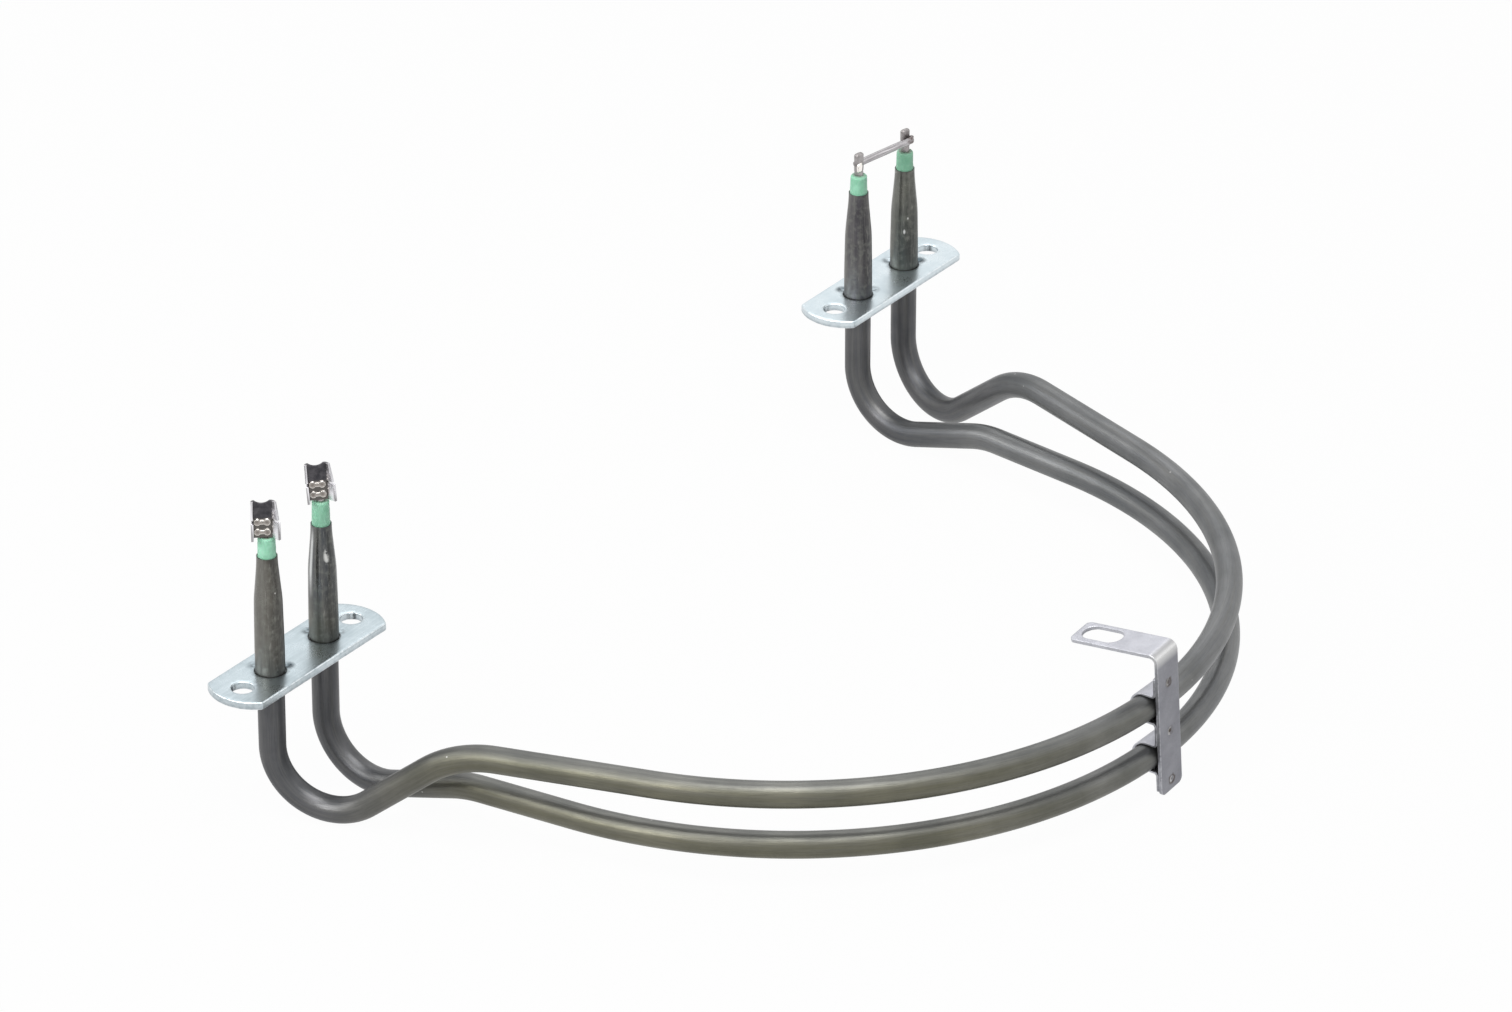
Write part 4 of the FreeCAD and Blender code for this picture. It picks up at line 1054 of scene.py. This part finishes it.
def plateOutline():
    halfSide, halfWidth, end = plateSizes["sideLength"] / 2, plateSizes["width"] / 2, plateSizes["endRadius"]
    centreX = halfSide - math.sqrt(end ** 2 - halfWidth ** 2)
    swing = math.asin(halfWidth / end)
    bow = [(x + centreX, y) for x, y in arcLoop(0, 0, end, -swing, swing, 28)]
    points = bow + [(-x, -y) for x, y in bow]
    # the four corners are eased by short curves that stand in for the corner radius
    eased = []
    for index, point in enumerate(points):
        if index not in (0, 28, 29, 57):
            eased.append(point)
            continue
        here = Vector(point)
        back = Vector(points[index - 1]) - here
        ahead = Vector(points[(index + 1) % len(points)]) - here
        reach = 0.42 * plateSizes["cornerRadius"]
        a, b = here + back.normalized() * reach, here + ahead.normalized() * reach
        for k in range(7):
            share = k / 6
            eased.append(tuple(a.lerp(here, share).lerp(here.lerp(b, share), share)))
    return eased


def makePlate(side):
    x = tubeSizes["terminalSpan"] / 2 * (-1 if side == "left" else 1)
    loops = [plateOutline()]
    for sign in (-1, 1):
        loops.append(roundHole(sign * tubeSizes["spacing"] / 2, plateSizes["tubeHole"], 56))
        loops.append(roundHole(sign * plateSizes["screwSpacing"] / 2, plateSizes["screwHole"], 48))
    bm = flatBlank(loops, plateSizes["thickness"], plateSizes["edgeRound"], 4, 0.7)
    bmesh.ops.translate(bm, vec=(x, 0, -plateSizes["thickness"] / 2), verts=bm.verts)
    mesh = asMesh(bm, side + "FlangePlate")
    item = linkObject(mesh.name, mesh)
    tools, spots = [], []
    for sign in (-1, 1):
        hole = Vector((x + sign * tubeSizes["spacing"] / 2, 0, 0))
        spots.append((hole, plateSizes["tubeHole"] / 2, 0.9, 0.8))
        for angle in plateSizes["punchAngles"]:
            turn = math.radians(angle)
            mark = hole + Vector((math.cos(turn), math.sin(turn), 0)) * plateSizes["punchCircle"]
            tools.append(dimpleTool(mark, Vector((0, 0, 1)), plateSizes["punchRadius"], plateSizes["punchDepth"], 32))
            spots.append((mark, 0.6, 1.5, 1.6))
    cutAway(item, tools)
    writeValues(item.data, "edgeRound", [1 - abs(v.normal.z) for v in item.data.vertices])
    # each spot darkens the top within a reach of its radius
    darkening = []
    for vertex in item.data.vertices:
        place = vertex.co / mm
        worst = 0.0
        for centre, radius, reach, depth in spots if place.z > -0.9 else ():
            away = math.hypot(place.x - centre.x, place.y - centre.y) - radius
            worst = max(worst, min(1.0, depth * max(0.0, 1 - away / reach)))
        darkening.append(worst)
    writeValues(item.data, "darkening", darkening)
    smoothed(item.data, 35)
    evenShading(item)
    finishPiece(item, [side + "_flange_plate"], "zinc")


for side in ("left", "right"):
    makePlate(side)
print("flange plates cut")


# Terminal clips: one folded sheet each, with two embossed ribs and tapered upper wings

clipSizes = {
    "sheet": 0.6, "width": 4.9, "height": 9.6, "offset": 0.8, "turn": 50.0, "back": 0.77, "bend": 0.75,
    "wing": 2.6, "leftSplay": 10.0, "rightSplay": 44.0, "lowerPart": 4.5, "slit": 0.5, "upperWing": 1.0,
    "tipWing": 0.35, "crimpSplay": 3.0,  # the lower left wing is bent further in than the upper one
    "notchRadius": 2.6, "notchDepth": 0.7,
    "ribLevels": (1.55, 4.1), "ribLift": 0.34, "ribEnd": 0.98, "ribArm": 1.13, "ribNeck": 0.64,
    # as each was fitted by hand
    "upperLean": 0.0, "lowerLean": 3.8, "upperShift": (-0.1, 0.0), "lowerShift": (0.4, -0.2),
}


def ribRelief(x, z):
    # height of the embossing, and how near a point is to the bright rim, the pad and the dimple in it
    best, dimple = 9.0, 9.0
    for level in clipSizes["ribLevels"]:
        v = z - level
        ends = min(math.hypot(x - clipSizes["ribArm"], v), math.hypot(x + clipSizes["ribArm"], v))
        bar = max(abs(x) - clipSizes["ribArm"], abs(v) - clipSizes["ribNeck"])
        best = min(best, ends - clipSizes["ribEnd"], bar)
        dimple = min(dimple, ends)
    ridge = math.exp(-((best + 0.2) / 0.12) ** 2)
    inside = max(0.0, min(1.0, -best / 0.16))
    dished = max(0.0, min(1.0, (0.5 - dimple) / 0.35))
    lift = clipSizes["ribLift"] * (0.72 * inside + 0.28 * ridge) - 0.08 * dished
    return lift, ridge, inside, dished


def makeClip(tube):
    s = clipSizes
    rise = tubeSizes[tube]["leftRise"]
    shift, lift = s[tube + "Shift"]
    aside = shift - s["offset"]
    base = Vector((terminalX(tube, "left") + aside * math.cos(math.radians(s["turn"])),
                   -aside * math.sin(math.radians(s["turn"])),
                   rise + sealSizes[tube + "left"] + pinSizes[tube + "ClipBase"] + lift))
    spin = Matrix.Rotation(-math.radians(s["turn"]), 3, "Z") @ Matrix.Rotation(-math.radians(s[tube + "Lean"]), 3, "Y")
    half = s["width"] / 2

    # seen from above, the outer face runs left wing, bend, web, bend, right wing
    def wingLength(side, z):
        if z <= s["lowerPart"] + 1e-6:
            return s["wing"]
        t = (z - s["lowerPart"] - s["slit"]) / (s["height"] - s["lowerPart"] - s["slit"])
        depth = s["sheet"] + s["upperWing"] + (s["tipWing"] - s["upperWing"]) * max(0.0, min(1.0, t))
        return depth / math.cos(math.radians(s[side + "Splay"]))

    columns = [("leftWing", 1 - i / 8) for i in range(9)] + [("leftBend", i / 6) for i in range(1, 7)]
    columns += [("web", i / 64) for i in range(1, 64)]
    columns += [("rightBend", i / 6) for i in range(7)] + [("rightWing", i / 8) for i in range(1, 9)]

    def bendReach(side):
        return s["bend"] * math.tan((math.pi / 2 - math.radians(s[side + "Splay"])) / 2)

    def facePoint(kind, t, z):
        side = "left" if kind.startswith("left") else "right"
        sign = -1 if side == "left" else 1
        splay = math.radians(s[side + "Splay"])
        reach = bendReach(side)
        heading = Vector((sign * math.sin(splay), -math.cos(splay)))
        corner = Vector((sign * half, -s["back"]))
        if kind == "web":
            low, high = -half + bendReach("left"), half - bendReach("right")
            return Vector((low + (high - low) * t, -s["back"]))
        if kind.endswith("Wing"):
            root = corner + heading * reach
            if side == "left" and z <= s["lowerPart"] + 1e-6:
                heading = Vector((-math.sin(math.radians(s["crimpSplay"])), -math.cos(math.radians(s["crimpSplay"]))))
            return root + heading * (wingLength(side, z) - reach) * t
        angle = (math.pi / 2 - splay) * (t if side == "right" else 1 - t)
        centre = corner + Vector((-sign * reach, -s["bend"]))
        return centre + Vector((sign * s["bend"] * math.sin(angle), s["bend"] * math.cos(angle)))

    def topOf(x):
        # the top edge with its round notch
        if abs(x) >= s["notchRadius"]:
            return s["height"]
        level = s["height"] + s["notchRadius"] - s["notchDepth"]
        return min(s["height"], level - math.sqrt(s["notchRadius"] ** 2 - x * x))

    bm = bmesh.new()
    lowRows, slitRows, highRows = 72, 8, 24
    grid = []
    for kind, t in columns:
        column = []
        for row in range(lowRows + slitRows + highRows + 1):
            if row <= lowRows:
                z = s["lowerPart"] * row / lowRows
            elif row <= lowRows + slitRows:
                z = s["lowerPart"] + s["slit"] * (row - lowRows) / slitRows
            else:
                start = s["lowerPart"] + s["slit"]
                top = topOf(facePoint(kind, t, s["height"]).x) if kind == "web" else s["height"]
                z = start + (top - start) * (row - lowRows - slitRows) / highRows
            plan = facePoint(kind, t, z)
            column.append(bm.verts.new((plan.x, plan.y, z)))
        grid.append(column)
    for c in range(len(grid) - 1):
        onWing = "Wing" in columns[c][0] or "Wing" in columns[c + 1][0]
        for r in range(len(grid[0]) - 1):
            if lowRows <= r < lowRows + slitRows and onWing:
                continue  # the slit between the lower and upper wings
            bm.faces.new((grid[c][r], grid[c][r + 1], grid[c + 1][r + 1], grid[c + 1][r]))
    bmesh.ops.delete(bm, geom=[v for v in bm.verts if not v.link_faces], context="VERTS")
    for vertex in bm.verts:
        vertex.co = base + spin @ vertex.co
    # the sheet grows towards the wings' inside, away from the pin
    webFace = grid[len(grid) // 2][4].link_faces[0]
    bm.normal_update()
    if webFace.normal.dot(spin @ Vector((0, 1, 0))) < 0:
        bmesh.ops.reverse_faces(bm, faces=bm.faces)
    mesh = asMesh(bm, tube + "LeftClip")
    item = linkObject(mesh.name, mesh)
    solid = item.modifiers.new("sheet", "SOLIDIFY")
    solid.thickness = s["sheet"] * mm
    solid.offset = -1
    solid.use_even_offset = True
    bevel = item.modifiers.new("edges", "BEVEL")
    bevel.width = 0.09 * mm
    bevel.segments = 2
    bevel.limit_method = "ANGLE"
    bevel.angle_limit = math.radians(50)
    applyModifiers(item, mesh.name)

    # the ribs are pressed out of the front face only, and the finish reads where each point lies
    unturned = spin.inverted()
    values = {name: [] for name in ("crown", "raised", "dished", "onWeb", "across", "level")}
    for vertex in item.data.vertices:
        place = unturned @ (vertex.co / mm - base)
        front = -s["back"] - s["sheet"]
        lift, ridge, inside, dished = 0.0, 0.0, 0.0, 0.0
        if abs(place.y - front) < 0.02:
            lift, ridge, inside, dished = ribRelief(place.x, place.z)
            vertex.co = (base + spin @ (place - Vector((0, lift, 0)))) * mm
        values["crown"].append(ridge)
        values["raised"].append(inside)
        values["dished"].append(dished)
        values["onWeb"].append(max(0.0, min(1.0, 1 - 2.2 * (front - place.y))))
        values["across"].append(math.copysign(math.hypot(place.x, place.y - front), place.x))
        values["level"].append(place.z)
    for name, numbers in values.items():
        writeValues(item.data, name, numbers)
    smoothed(item.data, 50)
    evenShading(item)
    finishPiece(item, [tube + "_left_clip"], "nickel")


for tube in ("upper", "lower"):
    makeClip(tube)
print("terminal clips folded")


# Support bracket and clamp strip: flat blanks that are bent along a path

bracketSizes = {
    "width": 8.6, "sheet": 1.0, "rise": 23.3, "fall": 16.6, "flange": 25.4, "droop": 7.6, "bend": 1.3, "corner": 1.5,
    "slotWidth": 5.8, "slotLength": 10.9, "slotMargin": 1.4, "slotOffset": 0.25, "edgeRound": 0.16,
    "x": -0.2, "y": -166.8, "z": -20.825, "lean": 5.4, "weldRadius": 1.15, "weldDepth": 0.2, "footMiddle": 13.775,
    # ring, its tone, core, its tone
    "weldMarks": ((1.0, 1.0, 0.85, 0.75), (0.95, 0.4, 0.75, 1.0), (1.05, 1.0, 0.5, 0.5)),
}


def bendBlank(bm, runs, brightAt=0.0, brightReach=0.0):
    # runs are (length, turn in radians, radius of the outer face); the blank's Y goes along them, Z 0 is its outer face
    bright = bm.verts.layers.float.new("bent")
    cuts, s = [], 0.0
    for length, turn, radius in runs:
        pieces = 1 if not turn else max(3, int(abs(turn) / 0.13))
        for k in range(pieces):
            cuts.append(s + length * k / pieces)
        s += length
    for cut in cuts[1:]:
        geometry = bm.verts[:] + bm.edges[:] + bm.faces[:]
        bmesh.ops.bisect_plane(bm, geom=geometry, plane_co=(0, cut, 0), plane_no=(0, 1, 0), dist=1e-5)

    def along(distance, depth):
        place, heading, s = Vector((0.0, 0.0)), 0.0, 0.0
        for index, (length, turn, radius) in enumerate(runs):
            part = distance - s
            inside = part <= length or index == len(runs) - 1
            part = part if inside else length
            if turn:
                sign = math.copysign(1.0, turn)
                angle = turn * part / length
                normal = Vector((-math.sin(heading), math.cos(heading))) * sign
                centre = place + normal * radius
                away = (place - centre)
                c, si = math.cos(angle), math.sin(angle)
                place = centre + Vector((away.x * c - away.y * si, away.x * si + away.y * c))
                heading += angle
            else:
                place = place + Vector((math.cos(heading), math.sin(heading))) * part
            if inside:
                break
            s += length
        return place + Vector((-math.sin(heading), math.cos(heading))) * depth

    for vertex in bm.verts:
        x, y, z = vertex.co
        plan = along(y, z)
        vertex.co = (x, plan.x, plan.y)
        # the bent attribute marks the band along the bend where the strip's finish paints a highlight
        if brightReach:
            vertex[bright] = max(0.0, 1 - abs(y - brightAt) / brightReach) ** 0.8


def roundedStrip(width, length, corner):
    # a rectangle from Y 0 to its length, anticlockwise
    half, quarter = width / 2 - corner, math.pi / 2
    count = max(4, int(corner * quarter / 0.18))
    corners = ((-half, corner), (half, corner), (half, length - corner), (-half, length - corner))
    return [point for turn, (x, y) in enumerate(corners, 2)
            for point in arcLoop(x, y, corner, turn * quarter, (turn + 1) * quarter, count)]


def makeBracket():
    s = bracketSizes
    outer = s["bend"] + s["sheet"]
    turn = math.radians(90 + s["droop"])
    reach = outer * math.tan(turn / 2)
    leg = s["rise"] + s["fall"] - reach
    flange = s["flange"] - reach
    arc = outer * turn
    total = leg + arc + flange
    strip = roundedStrip(s["width"], total, s["corner"])
    radius = s["slotWidth"] / 2
    far = total - s["slotMargin"] - radius
    close = far - s["slotLength"] + s["slotWidth"]
    x = s["slotOffset"]
    slot = arcLoop(x, far, radius, math.pi, 0, 24) + arcLoop(x, close, radius, 0, -math.pi, 24)
    bm = flatBlank([strip, slot], s["sheet"], s["edgeRound"], 3, 0.45)
    bmesh.ops.translate(bm, vec=(0, 0, -s["sheet"] / 2), verts=bm.verts)
    markRounding(bm)
    # drawn with the strip's Y going up the leg and its depth pointing inward, to +Y of the frame
    bendBlank(bm, [(leg - 2, 0, 0), (2, 0, 0), (arc, -turn, outer), (flange, 0, 0)], leg + 0.35 * arc, 2.6)
    lean = Matrix.Rotation(-math.radians(s["lean"]), 3, "Y")
    place = Vector((s["x"], s["y"], s["z"]))
    for vertex in bm.verts:
        x, up, depth = vertex.co
        vertex.co = lean @ Vector((x, -depth, up - s["fall"])) + place
    faceOutward(bm)
    mesh = asMesh(bm, "supportBracket")
    item = linkObject(mesh.name, mesh)
    spots = [place + lean @ Vector((0, 0, level)) for level in (s["footMiddle"], 0, -s["footMiddle"])]
    cutAway(item, [dimpleTool(spot, Vector((0, -1, 0)), s["weldRadius"], s["weldDepth"], 128) for spot in spots])
    mesh = item.data
    heat = []
    for vertex in mesh.vertices:
        burnt = 0.0
        for spot, (ring, ringTone, core, coreTone) in zip(spots, s["weldMarks"]):
            away = vertex.co / mm - spot
            far = math.hypot(away.x, away.z) * (1 + 0.25 * noise.noise(away * 1.1 + spot))
            if away.y < 0.5:
                burnt = max(burnt, ringTone * max(0.0, 1 - abs(far - ring) / 0.4),
                            coreTone * max(0.0, min(1.0, (core - far) / 0.3)))
        heat.append(burnt)
    writeValues(mesh, "weldHeat", heat)
    smoothed(mesh, 35)
    evenShading(item)
    finishPiece(item, ["support_bracket"], "strip")


clampSizes = {"sheet": 0.6, "gap": 0.02, "bore": 3.45, "centre": 3.3, "pitch": 13.85, "footBend": 0.6, "foot": 4.4,
              "width": 8.6, "y": -165.8, "edgeRound": 0.12}


def makeClamp():
    s = clampSizes
    sheet = s["sheet"]
    topFoot = s["pitch"] / 2 + s["bore"] + sheet + s["footBend"] + s["foot"]
    quarter = math.pi / 2
    # the front face of the feet is the reference face; the loops' bore is the same face
    small = s["footBend"] + sheet
    straight = s["centre"] - s["gap"] - small
    middle = s["pitch"] - 2 * s["bore"] - 2 * small
    loop = [(small * quarter, quarter, small), (straight, 0, 0), (s["bore"] * math.pi, -math.pi, s["bore"]),
            (straight, 0, 0), (small * quarter, quarter, small)]
    runs = [(s["foot"], 0, 0)] + loop + [(middle, 0, 0)] + loop + [(s["foot"], 0, 0)]
    total = sum(run[0] for run in runs)
    bm = flatBlank([roundedStrip(s["width"], total, 0.5)], sheet, s["edgeRound"], 3, 1.0)
    bmesh.ops.translate(bm, vec=(0, 0, sheet / 2), verts=bm.verts)
    markRounding(bm)
    bendBlank(bm, runs)
    lean = math.radians(bracketSizes["lean"])
    for vertex in bm.verts:
        x, down, depth = vertex.co
        z = topFoot - down
        vertex.co = (bracketSizes["x"] + x / math.cos(lean) - z * math.tan(lean), s["y"] + s["gap"] + depth,
                     bracketSizes["z"] + z)
    faceOutward(bm)
    mesh = asMesh(bm, "clampStrip")
    writeValues(mesh, "weldHeat", [0.0] * len(mesh.vertices))
    item = linkObject(mesh.name, smoothed(mesh, 35))
    evenShading(item)
    finishPiece(item, ["clamp_strip"], "strip")


makeBracket()
makeClamp()
print("bracket and clamp strip bent")


# Nodes that stay as the CAD made them: the filling and the coils inside the tubes
for tube in ("upper", "lower"):
    for node, finish in ((tube + "_insulation", "powder"), (tube + "_coil", "coil")):
        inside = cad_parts[node]
        if inside.data.materials:
            for index in range(len(inside.data.materials)):
                inside.data.materials[index] = finishes[finish]
        else:
            inside.data.materials.append(finishes[finish])


# Floor, world, lamps and camera

stageSizes = {"floorLevel": -38.05, "floorSize": 4.0, "showWhite": 0.97, "ambient": 0.24}


def seenByCamera(look):
    # 1 for rays that show the white background: straight to the camera, or by way of gloss or glass
    path = look.add("LightPath").outputs
    seen = look.math("MAXIMUM", path["Is Camera Ray"], path["Is Glossy Ray"])
    return look.math("MAXIMUM", seen, path["Is Transmission Ray"])


def makeFloor():
    material = bpy.data.materials.new("paleFloor")
    material.use_nodes = True
    look = Nodes(material.node_tree)
    look.tree.nodes.clear()
    matt = look.add("BsdfDiffuse", {"Color": (0.6, 0.6, 0.6, 1.0)}).outputs[0]
    glow = look.add("Emission", {"Color": (1.0, 1.0, 1.0, 1.0), "Strength": 1.0}).outputs[0]
    share = look.times(seenByCamera(look), stageSizes["showWhite"])
    look.add("OutputMaterial", {"Surface": look.add("MixShader", {0: share, 1: matt, 2: glow}).outputs[0]})
    half, z = stageSizes["floorSize"] / 2, stageSizes["floorLevel"] * mm
    mesh = bpy.data.meshes.new("studioFloor")
    mesh.from_pydata([(-half, -half, z), (half, -half, z), (half, half, z), (-half, half, z)], [], [(0, 1, 2, 3)])
    mesh.materials.append(material)
    linkObject("studioFloor", mesh)


def makeWorld():
    world = bpy.data.worlds.new("paleStudio")
    bpy.context.scene.world = world
    world.use_nodes = True
    look = Nodes(world.node_tree)
    look.tree.nodes.clear()
    strength = look.between(seenByCamera(look), stageSizes["ambient"], 1.0)
    back = look.add("Background", {"Color": (1.0, 1.0, 1.0, 1.0), "Strength": strength}).outputs[0]
    look.add("OutputWorld", {"Surface": back})


lamps = {
    "overheadSoftbox": {"azimuth": -50, "elevation": 70, "distance": 1.5, "size": 1.0, "power": 12},
    "frontSoftbox": {"azimuth": -98, "elevation": 33, "distance": 1.6, "size": 0.8, "power": 9.5},
    "leftSoftbox": {"azimuth": -145, "elevation": 32, "distance": 1.6, "size": 0.8, "power": 5},
    "rightSoftbox": {"azimuth": 45, "elevation": 28, "distance": 1.6, "size": 0.8, "power": 1},
    "backSoftbox": {"azimuth": 130, "elevation": 50, "distance": 1.6, "size": 0.9, "power": 2.6},
}


def makeLamps():
    aim = Vector((0.0, -0.08, -0.01))
    for name, s in lamps.items():
        light = bpy.data.lights.new(name, "AREA")
        light.shape = "DISK"
        light.size = s["size"]
        light.energy = s["power"]
        item = linkObject(name, light)
        az, el = math.radians(s["azimuth"]), math.radians(s["elevation"])
        toward = Vector((math.sin(az) * math.cos(el), -math.cos(az) * math.cos(el), math.sin(el)))
        item.location = aim + toward * s["distance"]
        item.rotation_euler = toward.to_track_quat("Z", "Y").to_euler()


def makeCamera():
    data = bpy.data.cameras.new("photoCamera")
    data.sensor_fit = "HORIZONTAL"
    data.sensor_width = 36
    data.lens = 209.70
    data.clip_end = 20
    item = linkObject("photoCamera", data)
    az, el = math.radians(-54.344), math.radians(28.303)
    right = Vector((math.cos(az), math.sin(az), 0))
    back = Vector((math.sin(az) * math.cos(el), -math.cos(az) * math.cos(el), math.sin(el)))
    up = back.cross(right)
    item.matrix_world = Matrix((
        (right.x, up.x, back.x, -1.51987),
        (right.y, up.y, back.y, -1.13699),
        (right.z, up.z, back.z, 1.00870),
        (0, 0, 0, 1)))
    bpy.context.scene.camera = item


makeFloor()
makeWorld()
makeLamps()
makeCamera()
bpy.context.scene.view_settings.view_transform = "Standard"
print("stage, lamps and camera set")
